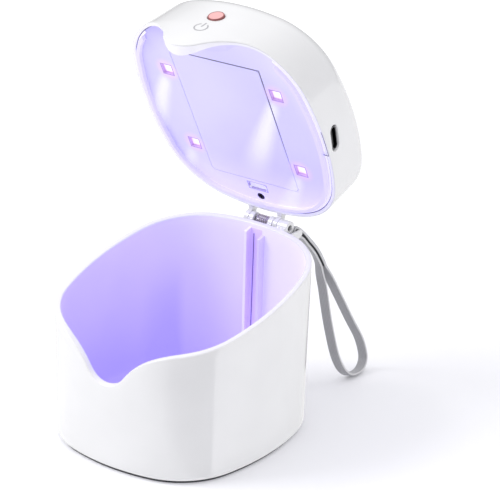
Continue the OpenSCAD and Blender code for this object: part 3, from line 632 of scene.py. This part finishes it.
# ---- Cup ----
def cup_rings():
    """Rings of the cup from the middle of its underside, up its wall, over the rim and down to the floor."""
    rings, kinds = [], []

    def ring(inset, z, kind):
        """The wall leans outwards, so its inset is told at the height of the rim."""
        rings.append(np.column_stack([outline(inset + (RIM_MID_Z - z) * math.tan(WALL_DRAFT)), z]))
        kinds.append(kind)

    flat = np.ones(len(outline()))
    turns = np.linspace(0, math.pi / 2, 8)
    for inset in (24.0, 14.0, FOOT_EDGE_R + 4):
        ring(inset, flat * FOOT_LIFT, 0)
    for t in turns:
        ring(FOOT_EDGE_R * (1 - math.sin(t)), flat * (FOOT_LIFT + FOOT_EDGE_R * (1 - math.cos(t))), 0)
    low, top = FOOT_LIFT + FOOT_EDGE_R, rim_z(outline()) - CUP_EDGE
    for share in np.linspace(0.12, 1, 14):
        ring(0, low + (top - low) * share, 0)
    for t in np.radians((30, 60, 90)):
        inset = CUP_EDGE * (1 - math.cos(t))
        ring(inset, rim_z(outline(inset)) - CUP_EDGE * (1 - math.sin(t)), 1)
    for t in np.radians((0, 30, 60, 90)):
        inset = CUP_WALL - CUP_EDGE * (1 - math.sin(t))
        ring(inset, rim_z(outline(inset)) - CUP_EDGE * (1 - math.cos(t)), 1)
    floor = FOOT_LIFT + CUP_FLOOR
    inner_top = rim_z(outline(CUP_WALL)) - CUP_EDGE
    for share in np.linspace(0.93, 0, 14):
        ring(CUP_WALL, floor + CUP_INNER_R + (inner_top - floor - CUP_INNER_R) * share, 2)
    for t in turns[::-1][1:]:
        ring(CUP_WALL + CUP_INNER_R * (1 - math.sin(t)), flat * (floor + CUP_INNER_R * (1 - math.cos(t))), 2)
    for inset in (14.0, 24.0):
        ring(inset, flat * floor, 2)
    return rings, kinds


def build_cup():
    """The cup's wall with all that is fixed to it, one function for each."""
    rings, kinds = cup_rings()
    points, faces, step = loft(rings)
    picks = [kinds[min(s + 1, len(kinds) - 1)] for s in step]
    # The inside of the cup is in painted violet light.
    finishes = [outer_abs, rim_abs, cup_violet]
    cup = mesh_object("cup_wall", points, faces, "cup", finishes, "white_abs", 40, picks)
    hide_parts("cup_shell")
    build_skirt()
    build_guide()
    build_cup_knuckles()
    build_strap_ears()


def build_skirt():
    """A dark ring, painted shade that shows as a line under the cup."""
    rings, high, deep = [], FOOT_LIFT + 0.1, SKIRT_IN + SKIRT_W
    for inset, z in ((SKIRT_IN, SKIRT_LIFT), (SKIRT_IN, high), (deep, high), (deep, SKIRT_LIFT)):
        xy = outline(inset + RIM_MID_Z * math.tan(WALL_DRAFT))
        rings.append(np.column_stack([xy, np.full(len(xy), z)]))
    lofted("foot_skirt_painted_shade", rings, "cup", skirt_painted_shade, "pad_rubber", closed=True)


def build_guide():
    """Two upright ribs on the back wall in painted light and shade, with the bed between them in painted half
    shade and a dark strip of painted shade as the slot.
    """
    inner_y, floor = CASE_D / 2 - CUP_WALL, FOOT_LIFT + CUP_FLOOR
    for side, drop in zip((-1, 1), RIB_DROP):
        x = RIB_SHIFT + side * RIB_PITCH / 2
        y0, y1 = inner_y - RIB_PROUD - 0.3, inner_y + 0.7
        z0, z1 = (RIM_MID_Z + y * math.tan(RIM_TILT) - drop for y in (y0, y1))
        profile = [(y0 + 0.4, floor - 0.3), (y1 - 0.8, floor - 0.3), (y1 - 0.5, z1), (y0, z0)]
        name = f"guide_rib_{'left' if side < 0 else 'right'}"
        picks = [0, 0, 0, 0, 1, 1] if side < 0 else [2] * 6
        bar, finishes = prism(profile, x - RIB_T / 2, x + RIB_T / 2), [rib_painted_lit, rib_painted_shade, rib_lilac]
        soften(mesh_object(name, *bar, "cup", finishes, "white_abs", 35, picks), 0.3)
    lean = (PIN_Z - floor) * math.tan(WALL_DRAFT)
    for name, x, w, y, drop, finish in (
        ("guide_bed_painted_shade", RIB_SHIFT, RIB_PITCH - RIB_T, 0.12, 1.8, rib_painted_shade),
        ("guide_slot_painted_shade", SLOT_X, SLOT_W, 0.2, 3.8, slot_painted_shade),
    ):
        top = RIM_MID_Z + inner_y * math.tan(RIM_TILT) - drop
        behind = inner_y + 0.3
        profile = [(inner_y - lean - y, floor), (behind, floor), (behind, top), (inner_y - y - 0.02, top)]
        mesh_object(name, *prism(profile, x - w / 2, x + w / 2), "cup", [finish], "white_abs")


def bored_knuckle(name, body, bar, bores):
    """A knuckle of the hinge, bored for the pin, with softened edges."""
    knuckle = mesh_object(name, *bar, body, [outer_abs], "white_abs")
    for bore in bores:
        cut(knuckle, *bore)
    soften(knuckle, 0.25, 2)
    smooth(knuckle, 30)


def build_cup_knuckles():
    """Knuckles at both sides of the spring and the lug, whose blind end takes the pin."""
    wall_y = CASE_D / 2 - CUP_BITE
    profile = [(wall_y, PIN_Z - 8), (wall_y, PIN_Z + 0.6)] + arc(PIN_Y, PIN_Z, KNUCKLE_R, 40, 167, -90)
    near, far = SPRING_W / 2, SPRING_W / 2 + CUP_KNUCKLE_W
    for k, (x0, x1) in enumerate(((-far, -near), (near, far), (LUG_X, LUG_X + LUG_W))):
        bores = [prism(arc(PIN_Y, PIN_Z, PIN_R + 0.02), x0 - 1, x1 + (1 if k < 2 else -1))]
        if k == 2:
            bores.append(prism(arc(PIN_Y, PIN_Z, 1.2), x1 - 1, x1 + 1))
        bored_knuckle(f"cup_knuckle_{k + 1}", "cup", prism(profile, x0, x1), bores)


def build_strap_ears():
    """Two thin ears that hold the strap's bar."""
    wall_y = CASE_D / 2 - CUP_BITE
    ear = [(wall_y, BAR_Z - 5), (wall_y, BAR_Z + EAR_R)] + arc(BAR_Y, BAR_Z, EAR_R, 30, 90, -60)
    for k, x in enumerate((LUG_X, LUG_X + EAR_W + EAR_GAP)):
        plate = mesh_object(f"strap_ear_{k + 1}", *prism(ear, x, x + EAR_W), "cup", [outer_abs], "white_abs")
        soften(plate, 0.2)


build_cup()


# ---- Lid ----
def lid_thickness(flat):
    """Thickness of the lid's wall at its edge, which grows towards the tip of the beak."""
    return LID_WALL + (BEAK_T - LID_WALL) * np.exp(-((flat[:, 0] / 9) ** 2)) * (flat[:, 1] < 0)


def lid_rings():
    """Rings of the shut lid from the middle of its inner face, down, round its edge, up and over."""
    flat = outline()
    thick = lid_thickness(flat)
    rings, kinds, edge = [], [], LID_EDGE

    def ring(inset, z, kind):
        """z is a function of the ring's points."""
        xy = outline(inset)
        rings.append(np.column_stack([xy, z(xy)]))
        kinds.append(kind)

    def over(h):
        """Height over the sloping parting plane."""
        return lambda xy: RIM_MID_Z + xy[:, 1] * math.tan(RIM_TILT) + h

    def off_edge(up):
        """Height over the lid's lowest edge."""
        return lambda xy: rim_z(xy, RIM_GAP) + up

    def wall(inset, radius, top, kind, steps):
        """Leaning wall with its rounded turn into the top, from the parting plane up."""
        h = top - radius + radius * np.sin(steps)
        off = inset + h * math.tan(LID_DRAFT) + radius * (1 - np.cos(steps))
        for offset, height in zip(off, h):
            ring(offset, over(height), kind)

    inner_top, inner_r = LID_H - LID_WALL / math.cos(RIM_TILT), LID_EDGE_R - LID_WALL
    for inset in (24.0, 15.0):
        ring(inset, over(inner_top), 2)
    wall(LID_WALL, inner_r, inner_top, 2, np.linspace(math.pi / 2, 0, 5))
    ring(LID_WALL + 0.2, over(LINER_RISE + LINER_T), 2)
    ring(LID_WALL, lambda xy: slope_z(xy, LINER_RISE - 0.15), 2)
    ring(thick, lambda xy: slope_z(xy, LINER_RISE - 0.2), 2)
    for share in (0.7, 0.4, 0.12):
        low, high = rim_z(outline(thick), RIM_GAP) + edge, slope_z(outline(thick), LINER_RISE - 0.25)
        ring(thick, lambda xy: low + (high - low) * share, 1)
    ring(thick, off_edge(edge * 0.5), 1)
    ring(thick - edge * 0.3, off_edge(0.05), 1)
    ring(thick - edge, off_edge(0), 1)
    ring(np.minimum(thick * 0.5, 1.0), off_edge(0), 1)
    ring(edge, off_edge(0), 1)
    ring(edge * 0.5, off_edge(edge * 0.07), 0)
    ring(edge * 0.13, off_edge(edge * 0.4), 0)
    ring(0, off_edge(edge), 0)
    first, side_top = rim_z(flat, RIM_GAP) + edge - slope_z(flat), LID_H - LID_EDGE_R
    for share in np.linspace(0.06, 0.96, 15):
        h = first + (side_top - first) * share
        xy = outline(np.maximum(h, 0) * math.tan(LID_DRAFT))
        rings.append(np.column_stack([xy, slope_z(xy) + h]))
        kinds.append(0)
    wall(0, LID_EDGE_R, LID_H, 0, np.linspace(0, math.pi / 2, 12))
    for inset in (14.0, 19.0, 24.0):
        ring(inset, over(LID_H), 0)
    return rings, kinds


def lid_tool(sections):
    """Points and faces of a tool for the lid, opened with it, lofted through sections."""
    points, faces, _ = loft(list(sections))
    return opened(points), faces


def port_tool():
    """Pill-shaped hole of the charging port with a small lead-in at the outside."""
    steps = ((36.0, 0), (40.2, 0), (41.5, 1.5), (44.0, 1.6))
    return lid_tool([(x, y, z + PORT_Z) for y, z in pill(PORT_W + more, PORT_H + more)] for x, more in steps)


def button_tool():
    """Bore of the button with a small lead-in at the outside."""
    steps = ((-41.0, 3.1), (-44.1, 3.1), (-44.5, 3.35), (-47.0, 3.4))
    return lid_tool([(BUTTON_X + x, y, BUTTON_Z + z) for x, z in arc(0, 0, r, 40)] for y, r in steps)


def edge_marks_painted_shade():
    """Moulding groove along the lid's edge by the port, and the notch at its end, as dark strips of painted
    shade.
    """
    parts = []
    for inset0, inset1, y0, y1 in ((0.45, 0.72, -6.3, 5.3), (0.72, 2.9, 4.95, 5.3)):
        rings, sides = [], [np.roll(outline(inset), 20, axis=0)[:40] for inset in (inset0, inset1)]
        for y in np.linspace(y0, y1, 12):
            z = RIM_MID_Z + y * math.tan(RIM_TILT) + RIM_GAP / math.cos(RIM_TILT)
            a, b = (np.interp(y, side[:, 1], side[:, 0]) for side in sides)
            rings.append([(a, y, z - 0.03), (b, y, z - 0.03), (b, y, z + 0.1), (a, y, z + 0.1)])
        parts.append(rings)
    points, faces = joined(parts)
    mesh_object("edge_marks_painted_shade", opened(points), faces, "lid", [gap_shade], "white_abs")


def build_lid():
    """The cover with its port and button bores, and the knuckles that carry it on the pin."""
    rings, kinds = lid_rings()
    points, faces, step = loft(rings)
    picks = [kinds[min(s + 1, len(kinds) - 1)] for s in step]
    # The lid's edge and its inner face carry a painted glow.
    finishes = [outer_abs, edge_abs_painted_glow, edge_abs_painted_glow]
    lid = mesh_object("lid_cover", opened(points), faces, "lid", finishes, "white_abs", 40, picks)
    for tool in (port_tool(), button_tool()):
        cut(lid, *tool)
    smooth(lid, 40)
    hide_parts("lid_shell")
    arm_y, arm_z = CASE_D / 2 - 1.4, PIN_Z + 1.55
    arm = [(PIN_Y - KNUCKLE_R, arm_z), (arm_y, arm_z), (arm_y, arm_z + 5)]
    for k, x in enumerate((-LID_KNUCKLE_X - LID_KNUCKLE_W, LID_KNUCKLE_X)):
        points, faces = prism(arm + arc(PIN_Y, PIN_Z, KNUCKLE_R, 48, 90, -180), x, x + LID_KNUCKLE_W)
        pin_bore = prism(arc(PIN_Y, PIN_Z, PIN_R + 0.03), x - 1, x + LID_KNUCKLE_W + 1)
        bored_knuckle(f"lid_knuckle_{k + 1}", "lid", (opened(points), faces), [pin_bore])


def build_beak_lining():
    """Violet skin on the inside of the beak, which turns in one curve into the face of the liner."""
    flat = outline()
    inset = lid_thickness(flat)
    wall, deep = outline(inset), outline(inset + 1)
    rings = []
    for k in range(len(flat)):
        if flat[k, 1] >= 0 or abs(flat[k, 0]) >= NOTCH_HALF - 1:
            continue
        tip, face = rim_z(wall[k : k + 1], RIM_GAP)[0] + 0.5, slope_z(wall[k : k + 1], LINER_RISE)[0]
        bend = min(7.0, max(face - tip, 0) * 0.8)
        front = [(0.0, tip + (face - bend - tip) * t) for t in np.linspace(0, 1, 6)[:-1]]
        turns = np.linspace(0, math.pi / 2, 12)
        front += [(bend * (1 - math.cos(t)), face - bend * (1 - math.sin(t))) for t in turns]
        rear = [(-0.12, tip), (-0.12, face + 0.3), (bend, face + 0.3)]
        section = []
        for far, z in front[::-1] + rear:
            xy = wall[k] + (deep[k] - wall[k]) * (far + 0.02)
            section.append((*xy, z + (xy[1] - wall[k][1]) * math.tan(RIM_TILT) - 0.02))
        rings.append(section)
    lofted("beak_lining", rings, "lid", beak_violet, "liner_abs", sharp=60)


def liner_band(name, outer, inner, under, thick, finish, chosen, closed):
    """Narrow band along the liner between two outlines, a little under the liner's face."""
    rings = []
    for k in chosen:
        (x0, y0), (x1, y1) = outer[k], inner[k]
        z0, z1 = slope_z(np.array([outer[k], inner[k]]), LINER_RISE - under)
        rings.append([(x0, y0, z0), (x1, y1, z1), (x1, y1, z1 + thick), (x0, y0, z0 + thick)])
    lofted(name, rings, "lid", finish, "liner_abs", closed)


def build_liner_bands():
    """Dark strip of painted shade in the gap round the liner and, but for the beak, its pale margin with a
    painted glow.
    """
    flat = outline()
    gap = (outline(LID_WALL - 0.05), outline(LID_WALL + 0.3))
    liner_band("liner_gap_painted_shade", *gap, 0.24, 0.1, gap_shade, range(len(flat)), True)
    beak = [k for k in range(len(flat)) if flat[k, 1] < 0 and abs(flat[k, 0]) < NOTCH_HALF + 0.5]
    margin = (outline(LID_WALL + 0.32), outline(MARGIN_IN))
    round_back = range(beak[-1] + 1 - len(flat), beak[0])
    liner_band("liner_margin_painted_glow", *margin, 0.2, 0.15, margin_abs_painted_glow, round_back, False)


def build_windows():
    """Quartz windows over the lamps, each with a map from its middle for its glow."""
    half, top = GLASS_S / 2, LINER_RISE + LINER_T
    corners = [(-half, -half), (half, -half), (half, half), (-half, half)]
    points, faces, maps = [], [], []
    for cx, cy in LAMPS:
        n = len(points)
        points += [(cx + x, cy + y, h) for h in (top - GLASS_T, top) for x, y in corners]
        faces += [(n + 3, n + 2, n + 1, n), (n + 4, n + 5, n + 6, n + 7)]
        faces += [(n + k, n + (k + 1) % 4, n + 4 + (k + 1) % 4, n + 4 + k) for k in range(4)]
        maps += [(x / half, y / half) for _ in range(2) for x, y in corners]
    glass = mesh_object("lamp_windows", opened(on_rim(points)), faces, "lid", [window_quartz], "window_glass")
    layer = glass.data.uv_layers.new(name="UVMap")
    for loop in glass.data.loops:
        layer.data[loop.index].uv = maps[loop.vertex_index]
    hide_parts("led_windows")


def front_face(x, z, proud=0.0):
    """Point on the front wall of the shut lid."""
    y, inset = CASE_D / 2 - END_R, 0.0
    for _ in range(3):
        at = -y - math.sqrt((END_R - inset) ** 2 - x**2)
        inset = max(z - RIM_MID_Z - at * math.tan(RIM_TILT), 0) * math.tan(LID_DRAFT)
    return x, at - proud, z


def printed_stroke(name, path, width, proud=0.04):
    """A line of ink on the lid's front wall, given by its middle line in X and Z."""
    path, rings = np.array(path), []
    for p, s in zip(path, courses(path)[1] * width / 2):
        a, b = p + s, p - s
        rings.append([front_face(*q, up) for q, up in ((a, -0.05), (b, -0.05), (b, proud), (a, proud))])
    lofted(name, rings, "lid", icon_ink, "white_abs")


ICON_X, ICON_Z, ICON_R, ICON_LINE = BUTTON_X, 47.9, 2.45, 0.5
BUTTON_PROUD = 0.5
# The ring of painted shade round the button, as radius and depth behind its face.
EDGE_SECTION = [(2.98, 0.02), (2.98, 0.9), (2.8, 0.9), (2.62, -0.02), (2.75, -0.09), (2.9, -0.07)]


def build_button():
    """Dull red ring of painted shade on the edge of the button, and the printed power sign under it."""
    face_y = -CASE_D / 2 + BUTTON_UP * math.tan(LID_DRAFT) - BUTTON_PROUD
    rings = [[(BUTTON_X + x, face_y + y, BUTTON_Z + z) for x, z in arc(0, 0, r, 48)] for r, y in EDGE_SECTION]
    lofted("button_edge_painted_shade", rings, "button", button_ring_painted_shade, "button_pink", True, 60)
    gap = math.radians(32)
    turns = np.linspace(gap, math.tau - gap, 40)
    ring = [(ICON_X + ICON_R * math.sin(a), ICON_Z + ICON_R * math.cos(a)) for a in turns]
    printed_stroke("power_sign_ring", ring, ICON_LINE)
    stem = [(ICON_X, ICON_Z + t) for t in np.linspace(0.2, ICON_R + 0.9, 8)]
    printed_stroke("power_sign_stem", stem, ICON_LINE)


build_lid()
build_beak_lining()
build_liner_bands()
edge_marks_painted_shade()
build_windows()
build_button()

# ---- Strap, in mm behind and over its bar ----
NECK_PATH = [(0, 0), (4.2, -2.6), (8.5, -6.9), (11.9, -11.8), (14, -17.2)]
LOOP_PATH = [
    (14.5, -16.4), (15.3, -18.6), (18.2, -24.3), (22.9, -34.8), (27.3, -44.6), (31.2, -52.5), (32.5, -59.3),
    (31.6, -62.8), (28.4, -65.2), (24, -65.4), (20, -64.2), (16.5, -60.8), (14.1, -54.7), (13.1, -47.4),
    (12.6, -38), (12.7, -30), (12.8, -24), (12.9, -19.6), (12.95, -17.1),
]  # fmt: skip
NECK_FROM, NECK_GAP = 1.2, 0.5  # where the neck starts, and the gap between its two layers
NECK_TURN_MOST, NECK_FADE = -30, 9  # degrees, and the length over which the hand loop takes them up
NECK_TURN = [(1.5, 0), (10, 1), (18, 1), (31, 0)]  # share of the turn by the run from the bar
GATHERED = (3, 8)  # distances from the bar between which the tape widens from its eye
THREAD_R, STITCH_HALF, STITCH_X = 0.13, 0.55, 1.1


def beside(path, offsets):
    """The path moved to its left by each offset."""
    return path + courses(path)[1] * offsets[:, None]


def strap_path():
    """Middle line of the one tape: up the neck, round the bar, down the neck and round the hand loop."""
    neck = curve(NECK_PATH, 10)
    neck = neck[np.linalg.norm(neck, axis=1) > NECK_FROM]
    far = np.linalg.norm(neck, axis=1)
    lap, eye = STRAP_T / 2 + NECK_GAP / 2, BAR_R + 0.12 + STRAP_T / 2
    away = lap + (eye - lap) * np.clip(1 - (far - NECK_FROM) / 4.5, 0, 1) ** 1.6
    right, left = beside(neck, away), beside(neck, -away)
    first = math.atan2(*right[0][::-1])
    last = math.atan2(*left[0][::-1]) + math.tau
    turn = np.linspace(last, first, 22)[1:-1]
    eye_arc = np.stack([np.cos(turn), np.sin(turn)], 1) * eye
    loop = curve(LOOP_PATH, 8)
    return np.concatenate([left[::-1][2:], eye_arc, right[:-2], loop[3:-3]])


def relax(path):
    """Evens out the joins of a closed path."""
    for _ in range(4):
        path = 0.5 * path + 0.25 * (np.roll(path, 1, 0) + np.roll(path, -1, 0))
    return path


def hung(points):
    """Points across, behind and over the bar as the tape hangs, turned about the neck's middle line."""
    before, last = np.array(NECK_PATH[-2:], float)
    beyond = last + (last - before) / np.linalg.norm(last - before) * NECK_FADE
    line = np.concatenate([curve(NECK_PATH, 60), np.linspace(last, beyond, 60)[1:]])
    ahead, normal = courses(line)
    run = np.concatenate([[0], np.cumsum(np.linalg.norm(np.diff(line, axis=0), axis=1))])
    p = np.array(points, float)
    near = np.argmin(((p[:, None, 1:] - line) ** 2).sum(2), axis=1)
    share = np.interp(run[near], *zip(*NECK_TURN))
    angle = np.radians(NECK_TURN_MOST) * share * share * (3 - 2 * share)
    off = p[:, 1:] - line[near]
    aside, along = (off * normal[near]).sum(1), (off * ahead[near]).sum(1)
    x = p[:, 0] * np.cos(angle) - aside * np.sin(angle)
    aside = p[:, 0] * np.sin(angle) + aside * np.cos(angle)
    flat = line[near] + normal[near] * aside[:, None] + ahead[near] * along[:, None]
    return strap_frame(np.column_stack([x, flat]))


def build_strap():
    """The woven tape round the bar and the hand loop, with a map of its run and its width for the weave."""
    path = relax(strap_path())
    count = len(path)
    ahead = np.roll(path, -1, 0) - np.roll(path, 1, 0)
    ahead /= np.linalg.norm(ahead, axis=1)[:, None]
    side = np.stack([-ahead[:, 1], ahead[:, 0]], 1)
    length = np.concatenate([[0], np.cumsum(np.linalg.norm(np.roll(path, -1, 0) - path, axis=1))])
    t = np.radians(np.arange(0, 360, 15))
    across = np.sign(np.cos(t)) * np.abs(np.cos(t)) ** 0.28 * STRAP_W / 2
    thick = np.sign(np.sin(t)) * np.abs(np.sin(t)) ** 0.55 * (STRAP_T - 0.06) / 2
    rings = []
    for p, s in zip(path, side):
        gathered = np.interp(np.linalg.norm(p), GATHERED, (EYE_W / STRAP_W, 1))
        rings.append(np.column_stack([across * gathered, p[0] + s[0] * thick, p[1] + s[1] * thick]))
    points, faces, _ = loft(rings, closed=True)
    # Edge faces get the paler finish, a painted highlight.
    picks = [int(abs(math.cos(t[k % len(t)] + t[1] / 2)) > 0.8) for k in range(len(faces))]
    finishes = [strap_polyester, strap_edge_painted_highlight]
    strap = mesh_object("strap_tape", hung(points), faces, "strap", finishes, "strap_polyester", 60, picks)
    layer = strap.data.uv_layers.new(name="UVMap")
    for poly in strap.data.polygons:
        closing = {v // len(t) for v in poly.vertices} == {0, count - 1}
        for index in poly.loop_indices:
            ring, k = divmod(strap.data.loops[index].vertex_index, len(t))
            layer.data[index].uv = (length[count if closing and ring == 0 else ring], across[k] + thick[k])
    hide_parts("wrist_strap")


def build_stitches():
    """Rows of thread over the sewn neck, on both of its faces."""
    neck = curve(NECK_PATH, 10)
    ahead, normals = courses(neck)
    parts = []
    for k in range(17, len(neck) - 2, 2):
        for face, x in ((face, x) for face in (-1, 1) for x in (-STITCH_X, STITCH_X)):
            rings = []
            for share in np.linspace(-1, 1, 7):
                lift = STRAP_T + NECK_GAP / 2 - 0.09 - 0.16 * share**4
                mid = neck[k] + ahead[k] * share * STITCH_HALF + normals[k] * face * lift
                turns = np.arange(6) * math.tau / 6
                section = [(x + THREAD_R * math.cos(a), THREAD_R * math.sin(a)) for a in turns]
                rings.append([(aside, *(mid + normals[k] * off)) for aside, off in section])
            parts.append(rings)
    points, faces = joined(parts)
    mesh_object("neck_stitches", hung(points), faces, "strap", [sewing_thread], "strap_polyester", 80)


def build_neck_fold():
    """A dark strip of painted shade in the fold between the two layers of the sewn neck, a little in from the
    tape's edges.
    """
    neck, half, rings = curve(NECK_PATH, 10)[4:], STRAP_W / 2 - 0.25, []
    for mid, normal in zip(neck, courses(neck)[1]):
        lift = normal * (NECK_GAP / 2 + 0.05)
        corners = ((-half, -1), (half, -1), (half, 1), (-half, 1))
        rings.append([(x, *(mid + lift * face)) for x, face in corners])
    points, faces, _ = loft(rings)
    mesh_object("neck_fold_painted_shade", hung(points), faces, "strap", [fold_painted_shade], "strap_polyester")


build_strap()
build_stitches()
build_neck_fold()

# ---- Camera ----
scene = bpy.context.scene
a, e, r = (math.radians(v) for v in (CAMERA_AZIMUTH, CAMERA_ELEVATION, CAMERA_ROLL))
back = Vector((math.sin(a) * math.cos(e), -math.cos(a) * math.cos(e), math.sin(e)))
level_right = Vector((math.cos(a), math.sin(a), 0))
level_up = back.cross(level_right)
right = math.cos(r) * level_right + math.sin(r) * level_up
up = -math.sin(r) * level_right + math.cos(r) * level_up
spot = (Vector((0, 0, AIM_HEIGHT)) + AIM[0] * right + AIM[1] * up + back * CAMERA_DISTANCE) * 0.001
camera = bpy.data.objects.new("camera", bpy.data.cameras.new("camera"))
scene.collection.objects.link(camera)
camera.matrix_world = Matrix.Translation(spot) @ Matrix((right, up, back)).transposed().to_4x4()
camera.data.sensor_width = SENSOR_MM
camera.data.lens = FOCAL_PX / IMAGE_PX * SENSOR_MM
camera.data.clip_start, camera.data.clip_end = 0.02, 20
scene.camera = camera


# ---- Floor and light ----
LAMP_AIM = 0.07  # metres over the floor


def softbox(name, azimuth, elevation, far, size, power):
    """White square light aimed at the case: angles from the camera's azimuth, lengths in metres, watts."""
    az, el = math.radians(CAMERA_AZIMUTH + azimuth), math.radians(elevation)
    way = Vector((math.sin(az) * math.cos(el), -math.cos(az) * math.cos(el), math.sin(el)))
    light = bpy.data.lights.new(name, "AREA")
    light.shape, light.size, light.energy = "SQUARE", size, power
    obj = bpy.data.objects.new(name, light)
    scene.collection.objects.link(obj)
    obj.location = Vector((0, 0, LAMP_AIM)) + way * far
    obj.rotation_euler = way.to_track_quat("Z", "Y").to_euler()


softbox("key_left", -85, 42, 1.0, 0.45, 4.1)
softbox("fill_right", 58, 20, 1.1, 0.4, 1.1)

PAPER_REACH = 3000  # mm to each side
CARD_TURN = math.radians(CAMERA_AZIMUTH + 26)  # the dark card ends at this normal of the cup's near corner
CARD_CORNER = (CORNER[0] + CORNER_R * math.sin(CARD_TURN), -CORNER[1] - CORNER_R * math.cos(CARD_TURN))
STUDIO = [  # brightness of the room by the share of a turn round it
    (0.0, 0.85), (0.14, 1.0), (0.25, 1.25), (0.38, 1.15), (0.46, 0.3),
    (0.643, 0.2), (0.649, 1.3), (0.83, 1.2), (0.92, 0.9),
]  # fmt: skip


def studio_level(node, way):
    """Brightness round the room: pale walls to the left and the right, a dark stretch ahead of the case."""
    turn_back = {"Vector": way, "Angle": math.radians(-CAMERA_AZIMUTH)}
    split = node("SeparateXYZ", [node("VectorRotate", turn_back, rotation_type="Z_AXIS")]).outputs
    ahead = node("Math MULTIPLY", [split["Y"], -1.0])
    turn = node("Math ARCTAN2", [split["X"], ahead])
    share = node("MapRange", [turn, -math.pi, math.pi])
    room = node("ValToRGB", {"Fac": share})
    band = room.color_ramp.elements
    for k, (at, level) in enumerate(STUDIO):
        element = band[k] if k < 2 else band.new(at)
        element.position, element.color = at, (level, level, level, 1.0)
    return room


# White paper sweep: it pales away from the case, and in the case's gloss it shows the room.
sweep, node, place = start("white_paper_sweep")
paper = node("BsdfDiffuse", {"Color": "#F7F7FA"})
far = node("VectorMath LENGTH", [place]).outputs["Value"]
lift = node("MapRange", [far, 150, 900, 0.085, 0.5], **SOFTLY)
glow = node("Emission", {"Color": "#FFFFFF", "Strength": lift})
seen = node("AddShader", [node("BsdfDiffuse", {"Color": "#F6F6FA"}), glow])
from_case = node("VectorMath SUBTRACT", [place, (*CARD_CORNER, 0)])
mirrored = node("Emission", {"Color": "#FFFFFF", "Strength": studio_level(node, from_case)})
rays = node("LightPath").outputs
unseen = node("MixShader", [rays["Is Glossy Ray"], paper, mirrored])
node("OutputMaterial", {"Surface": node("MixShader", [rays["Is Camera Ray"], unseen, seen])})
corners = [(x * PAPER_REACH, y * PAPER_REACH, 0) for x, y in ((-1, -1), (1, -1), (1, 1), (-1, 1))]
floor = mesh_object("floor", corners, [(0, 1, 2, 3)], None, [sweep])

world = bpy.data.worlds.new("studio")
scene.world = world
world.use_nodes = True
world.node_tree.nodes.clear()
node = partial(add, world.node_tree)
way = node("TexCoord").outputs["Generated"]
height = node("SeparateXYZ", {"Vector": way}).outputs["Z"]
rise = node("MapRange", [height, 0.1, 0.8], **SOFTLY)
walls = node("Math MULTIPLY", [studio_level(node, way), 0.5])
ceiling = node("MixRGB", [rise, walls, "#FFFFFF"])
rays = node("LightPath").outputs
level = node("Math MAXIMUM", [ceiling, rays["Is Camera Ray"]])
node("OutputWorld", {"Surface": node("Background", {"Color": "#FDFDFF", "Strength": level})})
scene.view_settings.view_transform = "Standard"
